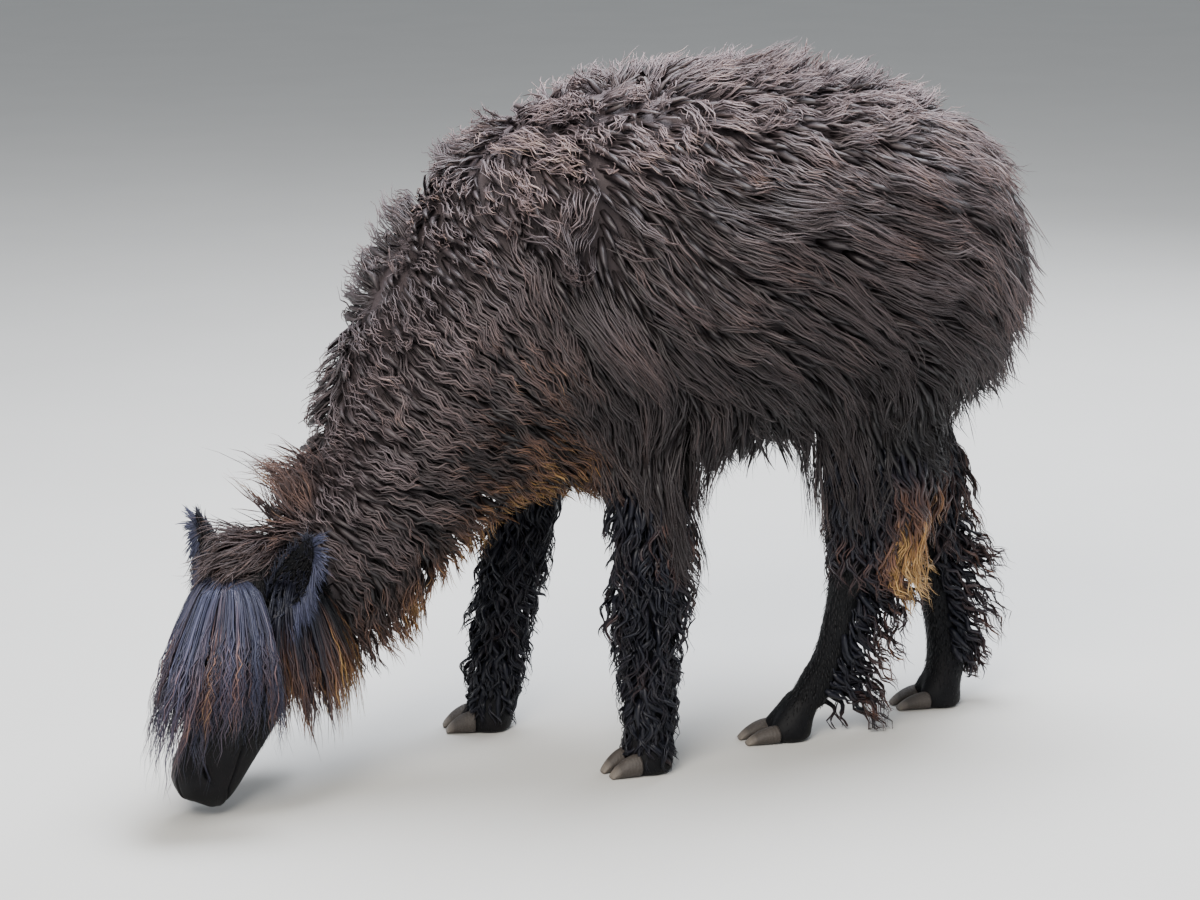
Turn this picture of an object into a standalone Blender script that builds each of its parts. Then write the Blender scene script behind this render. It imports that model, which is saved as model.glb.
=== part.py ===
"""A grazing long-fleeced llama as a life-size still model, in metres, +Z up, facing -X.

The body is a row of lofts. Each loft runs through a few named stations: the centre of a section, how
far the coat reaches from it to each side, and how shaggy it is there. The solids end at the tips of the
coat. The soles stand on z = 0, and the toenails end just above it.

Run it with: blender --background --python part.py
"""

import math
from collections import namedtuple

import bmesh
import bpy
from mathutils import Matrix, Vector, noise

# Driving dimensions, in metres.
BODY_TOP = 1.143  # the fleece over the middle of the back
BODY_HALF_WIDTH = 0.268  # the fleece at the widest rib
RUMP_X = 0.541  # the rearmost fleece
CENTRE_X = 0.19502  # these two move the model so that its box is centred on the origin
CENTRE_Y = 0.00099
GAP = 0.0006  # between neighbours, so that no two solids share a face
FULLNESS = 2.3  # 2 would make every section of the body an ellipse
SHARP_ANGLE = math.radians(55)  # edges bent further than this stay crisp
END_CROWDING = 0.6  # how much closer the rings of a loft stand near its ends

HEAD_LENGTH = 0.380  # poll to upper lip
POLL = Vector((-0.757, -0.085, 0.385))
HEAD_TURN = math.radians(36)  # the face looks this far to the left of straight ahead
HEAD_DROP = math.radians(68)  # the line from poll to lip, below the horizon
EYE_RADIUS = 0.0185
EAR_LENGTH = 0.132
EAR_WIDTH = 0.062
EAR_WALL = 0.007
EAR_HOLLOW = 0.020  # how deep the ear is cupped at its root
EAR_TIP_HOLLOW = 0.004
EAR_TIP_HALF_WIDTH = 0.003
CROWN = (0.05, 0.035)  # where the fringe starts: its share of the head, and how far out of the forehead
CHEEK_ROOT = (0.14, -0.050, 0.066)  # where the cheek wool starts: share of the head, out of it, sideways
EYE_AT = (0.36, 0.016, 0.056)  # share of the head, out of the forehead, sideways
EAR_AT = (0.18, 0.022, 0.066)

FOOT_LENGTH = 0.088
FOOT_HALF_WIDTH = 0.043
FETLOCK_HEIGHT = 0.072
PASTERN_RADIUS = 0.034
NAIL_LENGTH = {"fore": 0.046, "hind": 0.052}
NAIL_DEPTH = {"fore": 0.0375, "hind": 0.0300}
NAIL_HALF_WIDTH = 0.0165
NAIL_TIP_DEPTH = 0.007
NAIL_START = 0.36  # of the foot's length, in front of the middle of the foot
NAIL_APART = 0.0215  # from the middle of the foot to the middle of a nail's root
NAIL_TURN_IN = 0.006  # how much closer together the tips are
FLOOR_GAP = 0.0004  # the toenails clear the floor by this much, so that the soles carry the weight

# Directions of the head: along it to the lip, out of the forehead, and out of its left cheek.
FACING = Vector((-math.cos(HEAD_TURN), -math.sin(HEAD_TURN), 0))
HEAD_AXIS = FACING * math.cos(HEAD_DROP) + Vector((0, 0, -math.sin(HEAD_DROP)))
FOREHEAD = FACING * math.sin(HEAD_DROP) + Vector((0, 0, math.cos(HEAD_DROP)))
LEFT_CHEEK = Vector((0, 0, 1)).cross(FACING)

# A section of a loft: fore is towards the throat, the front of a leg or the forehead, and aft is opposite.
Station = namedtuple("Station", "x y z side fore aft tilt turn shag")


def clear_scene():
    for found in list(bpy.data.objects):
        bpy.data.objects.remove(found)


# ---------------------------------------------------------------- materials


def finish(name, colour, roughness):
    """A Principled material of one colour."""
    material = bpy.data.materials.new(name)
    material.use_nodes = True
    shader = material.node_tree.nodes["Principled BSDF"]
    shader.inputs["Base Color"].default_value = (*colour, 1)
    shader.inputs["Roughness"].default_value = roughness
    shader.inputs["Metallic"].default_value = 0
    return material


def make_finishes():
    return {
        "fleece": finish("fleece", (0.050, 0.028, 0.020), 0.85),
        "neck_fleece": finish("neck_fleece", (0.064, 0.034, 0.020), 0.85),
        "leg_wool": finish("leg_wool", (0.016, 0.012, 0.012), 0.75),
        "short_coat": finish("short_coat", (0.010, 0.010, 0.013), 0.60),
        "fringe": finish("fringe", (0.036, 0.027, 0.030), 0.65),
        "eye": finish("eye", (0.008, 0.005, 0.004), 0.10),
        "nail": finish("nail", (0.130, 0.110, 0.100), 0.50),
    }


# ---------------------------------------------------------------- lofts


def between(rows, distances, at):
    """The row at that distance along a smooth curve through the rows (a Hermite spline)."""
    last = len(rows) - 1
    i = max(k for k in range(last) if k == 0 or distances[k] <= at)
    span = distances[i + 1] - distances[i]
    t = (at - distances[i]) / span

    def slope(k):
        low, high = max(k - 1, 0), min(k + 1, last)
        return (rows[high] - rows[low]) / (distances[high] - distances[low])

    h00 = 2 * t**3 - 3 * t**2 + 1
    h10 = t**3 - 2 * t**2 + t
    h01 = 3 * t**2 - 2 * t**3
    h11 = t**3 - t**2
    return h00 * rows[i] + h10 * span * slope(i) + h01 * rows[i + 1] + h11 * span * slope(i + 1)


def run_lengths(stations):
    """How far along the loft each station is."""
    lengths = [0.0]
    for a, b in zip(stations, stations[1:]):
        lengths.append(lengths[-1] + (Vector(b[:3]) - Vector(a[:3])).length)
    return lengths


def lumps(point, size):
    """Rounded clumps of about that size, from 0 in the partings to 1 on the crowns."""
    near = noise.voronoi(point / size)[0][0]
    return max(0.0, 1.0 - near)


def fuller(value):
    """Pushes the cosine or sine of an ellipse towards a rounded box."""
    return math.copysign(abs(value) ** (2 / FULLNESS), value)


def ring_points(station, segments, lock_size, upright):
    """The outline of one section: four rounded quarters, pushed out into clumps of fleece."""
    section = Station(*station)
    centre = Vector((section.x, section.y, section.z))
    turn = Matrix.Rotation(section.turn, 3, "Z")
    tilt = Matrix.Rotation(-section.tilt, 3, "Y")
    side_way = turn @ Vector((0, 1, 0))
    fore_way = turn @ (tilt @ (Vector((-1, 0, 0)) if upright else Vector((0, 0, -1))))
    points = []
    for k in range(segments):
        angle = math.tau * k / segments
        across, along = fuller(math.cos(angle)), fuller(math.sin(angle))
        reach = section.fore if along > 0 else section.aft
        outward = side_way * (section.side * across) + fore_way * (reach * along)
        lump = lumps(centre + outward, lock_size) - 0.5
        points.append(centre + outward + outward.normalized() * (section.shag * lump))
    return points


def skin_over(rings, pointed_start=False, pointed_end=False):
    """One closed mesh through the rings, with each end flat or brought to a point."""
    shell = bmesh.new()
    rows = [[shell.verts.new(p) for p in ring] for ring in rings]
    count = len(rows[0])
    for low, high in zip(rows, rows[1:]):
        for k in range(count):
            n = (k + 1) % count
            shell.faces.new((low[k], low[n], high[n], high[k]))
    for row, pointed in ((rows[0], pointed_start), (rows[-1], pointed_end)):
        if pointed:
            tip = shell.verts.new(sum((v.co for v in row), Vector()) / count)
            for k in range(count):
                shell.faces.new((row[k], row[(k + 1) % count], tip))
        else:
            shell.faces.new(row)
    bmesh.ops.recalc_face_normals(shell, faces=shell.faces)
    return shell


def add_piece(name, shell, material):
    """The finished shell as an object. Its bent quads are split, so that a copy of it cuts the same shape."""
    bmesh.ops.triangulate(shell, faces=shell.faces)
    mesh = bpy.data.meshes.new(name)
    shell.to_mesh(mesh)
    shell.free()
    mesh.materials.append(material)
    mesh.shade_smooth()
    mesh.set_sharp_from_angle(angle=SHARP_ANGLE)
    piece = bpy.data.objects.new(name, mesh)
    bpy.context.scene.collection.objects.link(piece)
    return piece


def loft(name, stations, material, segments, spacing, start=None, end=None, **how):
    """A loft through the stations. start and end are the stations where this piece is parted from the
    rest of a longer loft."""
    lock_size = how.get("lock_size", 0.06)
    upright = how.get("upright", False)
    rows = [Vector(s) for s in stations]
    lengths = run_lengths(stations)
    low = 0.0 if start is None else lengths[start] + GAP / 2
    high = lengths[-1] if end is None else lengths[end] - GAP / 2
    steps = max(2, round((high - low) / spacing))
    rings = []
    for k in range(steps + 1):
        share = k / steps
        crowded = share - END_CROWDING * math.sin(math.tau * share) / math.tau
        row = between(rows, lengths, low + (high - low) * crowded)
        rings.append(ring_points(row, segments, lock_size, upright))
    shell = skin_over(rings, how.get("pointed_start", False), how.get("pointed_end", False))
    return add_piece(name, shell, material)


# ---------------------------------------------------------------- fitting neighbours


def cutter_from(piece):
    """A hidden copy of a neighbour, swollen by the gap."""
    cutter = bpy.data.objects.new(piece.name + "_cutter", piece.data)
    bpy.context.scene.collection.objects.link(cutter)
    cutter.hide_render = True
    cutter.display_type = "WIRE"
    swell = cutter.modifiers.new("swell", "DISPLACE")
    swell.strength = GAP
    swell.mid_level = 0
    return cutter


def cut_away(piece, *cutters):
    """Cuts the neighbours' shapes out of a piece."""
    for cutter in cutters:
        cut = piece.modifiers.new("cut_" + cutter.name, "BOOLEAN")
        cut.operation = "DIFFERENCE"
        cut.object = cutter


# ---------------------------------------------------------------- trunk and neck


def spine_stations():
    """From the rump to the ruff behind the ears. Sections stand upright at the trunk and lean with the neck."""
    wide = BODY_HALF_WIDTH
    top = BODY_TOP
    return [
        Station(RUMP_X, 0, 0.782, 0.028, 0.034, 0.034, 0, 0, 0.002),
        Station(RUMP_X - 0.016, 0, 0.770, 0.104, 0.122, 0.120, 0, 0, 0.008),
        Station(RUMP_X - 0.040, 0, 0.768, 0.150, 0.174, 0.172, 0, 0, 0.014),
        Station(RUMP_X - 0.100, 0, 0.775, 0.206, 0.258, top - 0.896, 0, 0, 0.018),
        Station(RUMP_X - 0.190, 0, 0.785, wide * 0.92, 0.290, top - 0.864, 0, 0, 0.018),
        Station(0.225, 0, 0.790, wide * 0.98, 0.298, top - 0.814, 0, 0, 0.020),
        Station(0.080, 0, 0.790, wide, 0.328, top - 0.793, 0, 0, 0.020),
        Station(-0.080, 0, 0.785, wide * 0.98, 0.362, top - 0.790, 0, 0, 0.020),
        Station(-0.220, 0, 0.765, wide * 0.92, 0.366, top - 0.800, math.radians(10), 0, 0.020),
        Station(-0.330, -0.004, 0.722, 0.222, 0.336, 0.306, math.radians(22), 0.03, 0.020),
        Station(-0.420, -0.012, 0.655, 0.194, 0.290, 0.252, math.radians(36), 0.08, 0.018),
        Station(-0.503, -0.022, 0.556, 0.168, 0.228, 0.198, math.radians(48), 0.14, 0.018),
        Station(-0.565, -0.034, 0.458, 0.144, 0.200, 0.158, math.radians(54), 0.20, 0.016),
        Station(-0.620, -0.044, 0.370, 0.108, 0.184, 0.168, math.radians(56), 0.26, 0.014),
        Station(-0.665, -0.054, 0.312, 0.080, 0.162, 0.172, math.radians(57), 0.34, 0.012),
        Station(-0.692, -0.060, 0.280, 0.052, 0.110, 0.120, math.radians(58), 0.40, 0.004),
    ]


NECK_BASE = 9  # the spine station where the neck is parted from the trunk


def make_trunk_and_neck(finishes):
    stations = spine_stations()
    trunk = loft(
        "trunk", stations, finishes["fleece"], 24, 0.040, end=NECK_BASE, pointed_start=True, lock_size=0.085
    )
    neck = loft(
        "neck", stations, finishes["neck_fleece"], 24, 0.040,
        start=NECK_BASE, pointed_end=True, lock_size=0.060,
    )
    return trunk, neck


def make_tail(finishes):
    """A short woolly tail, pressed against the rump."""
    stations = [
        Station(RUMP_X - 0.072, 0, 0.868, 0.020, 0.020, 0.020, 0, 0, 0.002),
        Station(RUMP_X - 0.030, 0.004, 0.830, 0.036, 0.034, 0.028, 0, 0, 0.004),
        Station(RUMP_X - 0.012, 0.010, 0.755, 0.046, 0.040, 0.028, 0, 0, 0.006),
        Station(RUMP_X - 0.018, 0.014, 0.665, 0.050, 0.044, 0.030, 0, 0, 0.008),
        Station(RUMP_X - 0.046, 0.016, 0.575, 0.044, 0.042, 0.030, 0, 0, 0.010),
        Station(RUMP_X - 0.076, 0.016, 0.510, 0.014, 0.014, 0.012, 0, 0, 0.004),
    ]
    return loft(
        "tail", stations, finishes["fleece"], 10, 0.038,
        pointed_start=True, pointed_end=True, upright=True, lock_size=0.04,
    )


# ---------------------------------------------------------------- legs


def leg_stations(kind):
    """Shaggy sections of each leg, from inside the fleece of the trunk to the fetlock."""
    if kind == "fore_left":
        return [
            Station(-0.175, -0.118, 0.560, 0.046, 0.066, 0.072, 0, 0, 0.004),
            Station(-0.150, -0.142, 0.450, 0.074, 0.078, 0.088, 0, 0, 0.016),
            Station(-0.142, -0.138, 0.370, 0.068, 0.084, 0.086, 0, 0, 0.020),
            Station(-0.145, -0.137, 0.300, 0.072, 0.094, 0.092, 0, 0, 0.024),
            Station(-0.145, -0.137, 0.215, 0.062, 0.078, 0.076, 0, 0, 0.022),
            Station(-0.142, -0.137, 0.130, 0.052, 0.058, 0.056, 0, 0, 0.016),
            Station(-0.141, -0.137, FETLOCK_HEIGHT, 0.045, 0.048, 0.046, 0, 0, 0.010),
        ]
    if kind == "fore_right":
        return [
            Station(-0.205, 0.118, 0.560, 0.046, 0.066, 0.066, 0, 0, 0.004),
            Station(-0.245, 0.142, 0.460, 0.070, 0.070, 0.072, 0, 0, 0.016),
            Station(-0.278, 0.138, 0.350, 0.066, 0.066, 0.064, 0, 0, 0.020),
            Station(-0.302, 0.137, 0.250, 0.064, 0.070, 0.066, 0, 0, 0.022),
            Station(-0.322, 0.137, 0.155, 0.058, 0.068, 0.064, 0, 0, 0.018),
            Station(-0.330, 0.137, FETLOCK_HEIGHT, 0.048, 0.056, 0.054, 0, 0, 0.010),
        ]
    if kind == "hind_left":
        return [
            Station(0.275, -0.102, 0.610, 0.054, 0.100, 0.100, 0, 0, 0.004),
            Station(0.255, -0.128, 0.500, 0.088, 0.122, 0.120, 0, 0, 0.018),
            Station(0.258, -0.106, 0.390, 0.080, 0.104, 0.112, 0, 0, 0.024),
            Station(0.265, -0.090, 0.300, 0.070, 0.086, 0.104, 0, 0, 0.026),
            Station(0.240, -0.076, 0.210, 0.056, 0.062, 0.100, 0, 0, 0.024),
            Station(0.210, -0.062, 0.135, 0.046, 0.048, 0.106, 0, 0, 0.020),
            Station(0.200, -0.054, FETLOCK_HEIGHT, 0.042, 0.072, 0.102, 0, 0, 0.016),
            Station(0.226, -0.052, 0.036, 0.038, 0.050, 0.078, 0, 0, 0.012),
            Station(0.248, -0.052, 0.008, 0.022, 0.026, 0.050, 0, 0, 0.004),
        ]
    return [
        Station(0.335, 0.102, 0.610, 0.054, 0.094, 0.094, 0, 0, 0.004),
        Station(0.360, 0.126, 0.500, 0.086, 0.105, 0.112, 0, 0, 0.018),
        Station(0.410, 0.106, 0.390, 0.078, 0.098, 0.104, 0, 0, 0.024),
        Station(0.450, 0.088, 0.290, 0.068, 0.084, 0.096, 0, 0, 0.026),
        Station(0.462, 0.072, 0.200, 0.056, 0.062, 0.094, 0, 0, 0.024),
        Station(0.458, 0.060, 0.130, 0.046, 0.046, 0.094, 0, 0, 0.020),
        Station(0.446, 0.052, FETLOCK_HEIGHT, 0.040, 0.040, 0.080, 0, 0, 0.014),
    ]


MID_JOINT = 3  # the leg station at the knee or the hock
LEGS = ("fore_left", "fore_right", "hind_left", "hind_right")
TOE_TURN = {"fore_left": 0.20, "fore_right": -0.06, "hind_left": 0.10, "hind_right": 0.05}
PASTERN_TOP_X = {"fore_left": -0.141, "fore_right": -0.330, "hind_left": 0.160, "hind_right": 0.448}
FOOT_SPOT = {
    "fore_left": Vector((-0.141, -0.137, 0)),
    "fore_right": Vector((-0.336, 0.137, 0)),
    "hind_left": Vector((0.128, -0.049, 0)),
    "hind_right": Vector((0.436, 0.049, 0)),
}


def foot_ring(kind, height, fore, aft, side, shift, cleft):
    """A level section of a foot, notched in front between its two toes."""
    turn = Matrix.Rotation(TOE_TURN[kind], 3, "Z")
    segments = 14
    points = []
    for k in range(segments):
        angle = math.tau * k / segments
        across, along = math.cos(angle), math.sin(angle)
        reach = fore if along > 0 else aft
        notch = 1 - cleft * math.exp(-((across / 0.22) ** 2)) if along > 0 else 1
        offset = Vector((-reach * along * notch + shift, side * across, height))
        points.append(FOOT_SPOT[kind] + turn @ offset)
    return points


def make_foot(kind, finishes):
    """A pastern that widens into two soft toes with a flat sole."""
    lean = PASTERN_TOP_X[kind] - FOOT_SPOT[kind].x
    back = FOOT_LENGTH * 0.42
    front = FOOT_LENGTH * 0.58
    top = FETLOCK_HEIGHT - GAP
    slim = PASTERN_RADIUS
    rings = [
        foot_ring(kind, top, slim, slim, slim, lean, 0.0),
        foot_ring(kind, top * 0.72, front * 0.72, slim, slim * 1.08, lean * 0.55, 0.08),
        foot_ring(kind, top * 0.42, front * 0.92, back * 0.90, FOOT_HALF_WIDTH * 0.96, lean * 0.2, 0.26),
        foot_ring(kind, top * 0.16, front, back, FOOT_HALF_WIDTH, 0, 0.38),
        foot_ring(kind, 0.0, front * 0.93, back * 0.93, FOOT_HALF_WIDTH * 0.90, 0, 0.42),
    ]
    return add_piece(kind + "_foot", skin_over(rings), finishes["short_coat"])


def make_nail(kind, toe, finishes):
    """A long curved toenail, deep at its root and brought to a blunt edge at the floor."""
    turn = Matrix.Rotation(TOE_TURN[kind], 3, "Z")
    spread = 1 if toe == "inner" else -1
    if kind.endswith("right"):
        spread = -spread
    long, deep = NAIL_LENGTH[kind[:4]], NAIL_DEPTH[kind[:4]]
    rings = []
    steps, segments = 4, 8
    for step in range(steps + 1):
        t = step / steps
        middle = ((deep - NAIL_TIP_DEPTH) * (1 - t**1.8) ** 0.8 + NAIL_TIP_DEPTH) / 2
        width = NAIL_HALF_WIDTH * (1 - 0.52 * t**2)
        out = FOOT_LENGTH * NAIL_START + long * t
        ring = []
        for k in range(segments):
            angle = math.tau * k / segments
            rise = middle * (1 + math.sin(angle))
            lateral = spread * (NAIL_APART - NAIL_TURN_IN * t) + width * math.cos(angle)
            ring.append(FOOT_SPOT[kind] + turn @ Vector((-out, lateral, max(rise, FLOOR_GAP))))
        rings.append(ring)
    return add_piece(f"{kind}_nail_{toe}", skin_over(rings), finishes["nail"])


def make_leg(kind, body_cutters, finishes):
    stations = leg_stations(kind)
    fore = kind.startswith("fore")
    upper_name, lower_name = ("forearm", "shank") if fore else ("thigh", "cannon")
    wool = finishes["leg_wool"]
    upper = loft(
        f"{kind}_{upper_name}", stations, wool, 14, 0.034,
        end=MID_JOINT, upright=True, lock_size=0.05,
    )
    cut_away(upper, *body_cutters)
    lower = loft(
        f"{kind}_{lower_name}", stations, wool, 14, 0.032,
        start=MID_JOINT, upright=True, lock_size=0.045,
    )
    foot_cutter = cutter_from(make_foot(kind, finishes))
    cut_away(lower, foot_cutter)
    for toe in ("inner", "outer"):
        cut_away(make_nail(kind, toe, finishes), foot_cutter)


# ---------------------------------------------------------------- head


def in_head(share, out, left, sign=1):
    """A point from its share of the head's length, how far it is out of the forehead, and out of a cheek."""
    return POLL + HEAD_AXIS * (share * HEAD_LENGTH) + FOREHEAD * out + LEFT_CHEEK * (left * sign)


def make_head(finishes):
    """Skull, cheeks and muzzle with their short coat: (share of the length, half width, brow, jaw)."""
    profile = (
        (-0.10, 0.040, 0.026, 0.045),
        (0.00, 0.056, 0.046, 0.085),
        (0.12, 0.063, 0.056, 0.110),
        (0.26, 0.069, 0.060, 0.122),
        (0.40, 0.066, 0.056, 0.120),
        (0.54, 0.057, 0.050, 0.104),
        (0.68, 0.050, 0.045, 0.086),
        (0.80, 0.047, 0.044, 0.075),
        (0.90, 0.046, 0.044, 0.068),
        (0.97, 0.040, 0.037, 0.057),
        (1.015, 0.020, 0.018, 0.030),
    )
    rows = [Vector((share * HEAD_LENGTH, *rest)) for share, *rest in profile]
    lengths = [row[0] - rows[0][0] for row in rows]
    segments, steps = 14, 15
    rings = []
    for step in range(steps + 1):
        along, wide, brow, jaw = between(rows, lengths, lengths[-1] * step / steps)
        ring = []
        for k in range(segments):
            angle = math.tau * k / segments
            across, up = math.cos(angle), math.sin(angle)
            out = up * (brow if up > 0 else jaw)
            squarish = 1 + 0.10 * math.sin(2 * angle) ** 2
            ring.append(in_head(along / HEAD_LENGTH, out * squarish, across * wide * squarish))
        rings.append(ring)
    return add_piece("head", skin_over(rings, pointed_start=True, pointed_end=True), finishes["short_coat"])


def make_eye(side, finishes):
    sign = 1 if side == "left" else -1
    shell = bmesh.new()
    bmesh.ops.create_uvsphere(shell, u_segments=10, v_segments=7, radius=EYE_RADIUS)
    bmesh.ops.translate(shell, verts=shell.verts, vec=in_head(*EYE_AT, sign))
    return add_piece("eye_" + side, shell, finishes["eye"])


def make_ear(side, finishes):
    """A spear-shaped ear, cupped towards the front and a little outwards."""
    sign = 1 if side == "left" else -1
    root = in_head(*EAR_AT, sign)
    up = (Vector((0, 0, 1)) * 0.90 + LEFT_CHEEK * (sign * 0.44) - FACING * 0.24).normalized()
    cup = (FACING + LEFT_CHEEK * (sign * 0.55)).normalized()
    cup = (cup - up * cup.dot(up)).normalized()
    across = up.cross(cup)
    rows, columns = 9, 6
    rings = []
    for row in range(rows + 1):
        t = row / rows
        half = EAR_WIDTH / 2 * (math.sin(math.pi * min(1.0, 0.22 + 0.80 * t)) ** 0.8 if t < 1 else 0.06)
        half = max(half, EAR_TIP_HALF_WIDTH)
        hollow = EAR_HOLLOW * (1 - t) + EAR_TIP_HOLLOW
        wall = EAR_WALL * (1 - 0.5 * t)
        centre = root + up * (EAR_LENGTH * t) - cup * (0.012 * math.sin(math.pi * t))
        ring = []
        for face in (1, -1):
            for column in range(columns):
                u = -1 + 2 * column / (columns - 1)
                u = u if face == 1 else -u
                back = hollow * (1 - u * u)
                ends = 0.30 if abs(u) == 1 else 1.0
                ring.append(centre + across * (half * u) - cup * back + cup * (face * wall / 2 * ends))
        rings.append(ring)
    return add_piece("ear_" + side, skin_over(rings), finishes["short_coat"])


def make_forelock(finishes):
    """The long fringe: a mop that hangs from the poll, fluted into locks with ragged tips."""
    locks, per_lock = 9, 3
    segments = locks * per_lock
    crown = in_head(*CROWN, 0)
    profile = (
        # drop below the crown, push towards the front, half width, front reach, rear reach
        (-0.030, -0.014, 0.024, 0.022, 0.030),
        (-0.023, -0.008, 0.052, 0.046, 0.050),
        (0.012, 0.006, 0.078, 0.066, 0.056),
        (0.070, 0.030, 0.093, 0.072, 0.054),
        (0.130, 0.056, 0.098, 0.076, 0.052),
        (0.190, 0.080, 0.098, 0.076, 0.056),
        (0.236, 0.096, 0.090, 0.072, 0.052),
    )
    rows = [Vector(row) for row in profile]
    lengths = [row[0] - rows[0][0] for row in rows]
    steps = 8
    rings = []
    for step in range(steps + 1):
        share = step / steps
        drop, push, wide, front, rear = between(rows, lengths, lengths[-1] * share)
        ring = []
        for k in range(segments):
            angle = math.tau * k / segments
            across, along = math.cos(angle), math.sin(angle)
            lobe = math.cos(locks * angle)
            flute = 1 + (0.03 + 0.05 * share) * lobe
            fall = drop + share**3 * (0.016 * lobe + 0.014 * math.sin(3 * angle + 1.0))
            reach = front if along > 0 else rear
            level = FACING * (push + reach * along * flute) + LEFT_CHEEK * (wide * across * flute)
            ring.append(crown + level - Vector((0, 0, fall)))
        rings.append(ring)
    return add_piece("forelock", skin_over(rings, pointed_start=True, pointed_end=True), finishes["fringe"])


def make_cheek_wool(side, finishes):
    """The long hair that falls from the ear root past the jaw."""
    sign = 1 if side == "left" else -1
    root = in_head(*CHEEK_ROOT, sign)
    drops = (
        # drop, half width along the head, half thickness, outward, backward
        (-0.030, 0.026, 0.014, 0.004, 0.000),
        (0.000, 0.054, 0.030, 0.010, 0.006),
        (0.060, 0.078, 0.040, 0.014, 0.024),
        (0.120, 0.088, 0.042, 0.012, 0.042),
        (0.165, 0.080, 0.040, 0.006, 0.054),
        (0.192, 0.060, 0.030, 0.000, 0.062),
    )
    rows = [Vector(row) for row in drops]
    lengths = [row[0] - rows[0][0] for row in rows]
    segments, steps, locks = 18, 7, 6
    rings = []
    for step in range(steps + 1):
        share = step / steps
        drop, broad, thick, outward, back = between(rows, lengths, lengths[-1] * share)
        ring = []
        for k in range(segments):
            angle = math.tau * k / segments
            lobe = math.cos(locks * angle)
            flute = 1 + (0.03 + 0.06 * share) * lobe
            level = (
                -FACING * (back + broad * math.cos(angle) * flute)
                + LEFT_CHEEK * (sign * (outward + thick * math.sin(angle) * flute))
            )
            ring.append(root + level - Vector((0, 0, drop + 0.012 * share**3 * lobe)))
        rings.append(ring)
    shell = skin_over(rings, pointed_start=True, pointed_end=True)
    return add_piece("cheek_wool_" + side, shell, finishes["fringe"])


def make_head_pieces(neck, neck_cutter, finishes):
    head = make_head(finishes)
    head_cutter = cutter_from(head)
    forelock = make_forelock(finishes)
    forelock_cutter = cutter_from(forelock)
    cut_away(forelock, head_cutter)
    cut_away(neck, head_cutter, forelock_cutter)
    for side in ("left", "right"):
        eye_cutter = cutter_from(make_eye(side, finishes))
        ear = make_ear(side, finishes)
        ear_cutter = cutter_from(ear)
        cut_away(ear, head_cutter, neck_cutter)
        cut_away(head, eye_cutter)
        cut_away(forelock, eye_cutter, ear_cutter)
        cheek = make_cheek_wool(side, finishes)
        cut_away(cheek, head_cutter, eye_cutter, ear_cutter, neck_cutter, forelock_cutter)


# ---------------------------------------------------------------- the whole model


def centre_on_origin():
    """Shifts everything so that the model's box stands centred on the origin."""
    for piece in bpy.data.objects:
        piece.location += Vector((CENTRE_X, CENTRE_Y, 0))


def main():
    clear_scene()
    finishes = make_finishes()
    trunk, neck = make_trunk_and_neck(finishes)
    trunk_cutter = cutter_from(trunk)
    neck_cutter = cutter_from(neck)
    cut_away(make_tail(finishes), trunk_cutter)
    for kind in LEGS:
        body_cutters = (trunk_cutter, neck_cutter) if kind.startswith("fore") else (trunk_cutter,)
        make_leg(kind, body_cutters, finishes)
    make_head_pieces(neck, neck_cutter, finishes)
    centre_on_origin()


main()
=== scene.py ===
"""The looks of a grazing, long-fleeced llama: one skin, its coat of solid locks, eyes and toenails.

Everything is in metres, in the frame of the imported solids: +X runs from head to tail and +Z is up.
The skin is lofted inside the solids, fused to one surface and shaped at the head. The coat grows from it
as closed, pointed strands that fill the space out to the solids' surface.
"""

import math
from collections import namedtuple

import bmesh
import bpy
import numpy as np
from mathutils import Matrix, Vector
from mathutils.bvhtree import BVHTree


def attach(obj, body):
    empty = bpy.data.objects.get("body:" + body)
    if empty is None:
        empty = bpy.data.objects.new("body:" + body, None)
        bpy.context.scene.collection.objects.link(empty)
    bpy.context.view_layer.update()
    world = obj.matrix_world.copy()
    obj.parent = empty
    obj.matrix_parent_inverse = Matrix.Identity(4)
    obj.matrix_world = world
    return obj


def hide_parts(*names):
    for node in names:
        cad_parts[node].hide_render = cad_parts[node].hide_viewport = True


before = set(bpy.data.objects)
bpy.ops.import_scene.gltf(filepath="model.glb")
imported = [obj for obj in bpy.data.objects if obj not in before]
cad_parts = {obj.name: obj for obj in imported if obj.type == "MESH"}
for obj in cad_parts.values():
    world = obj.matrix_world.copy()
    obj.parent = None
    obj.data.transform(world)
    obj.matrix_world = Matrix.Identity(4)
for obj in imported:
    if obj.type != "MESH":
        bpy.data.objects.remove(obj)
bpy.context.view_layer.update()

bl_info = {
    "name": "Long-fleeced llama",
    "version": (1, 0, 0),
    "blender": (4, 5, 0),
    "location": "View3D > Sidebar > Llama",
    "description": "Builds the skin, coat, eyes and toenails of a grazing llama over its solids",
    "category": "Object",
}

# ---------------------------------------------------------------- sizes that the pieces share, in metres

HEAD_LENGTH = 0.380  # poll to upper lip
POLL = Vector((-0.56198, -0.08401, 0.385))
HEAD_TURN = math.radians(36)
HEAD_DROP = math.radians(68)
FACING = Vector((-math.cos(HEAD_TURN), -math.sin(HEAD_TURN), 0))
HEAD_AXIS = FACING * math.cos(HEAD_DROP) + Vector((0, 0, -math.sin(HEAD_DROP)))
FOREHEAD = FACING * math.sin(HEAD_DROP) + Vector((0, 0, math.cos(HEAD_DROP)))
LEFT_CHEEK = Vector((0, 0, 1)).cross(FACING)
HEAD_FRAME = np.array([HEAD_AXIS, FOREHEAD, LEFT_CHEEK])  # rows: along, out, left
AXIS, BROW, LEFT = HEAD_FRAME  # the same directions, and the next two, for arrays of points
FRONT, HEAD_ORIGIN = np.array(FACING), np.array(POLL)
DOWN = np.array((0.0, 0.0, -1.0))

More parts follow.
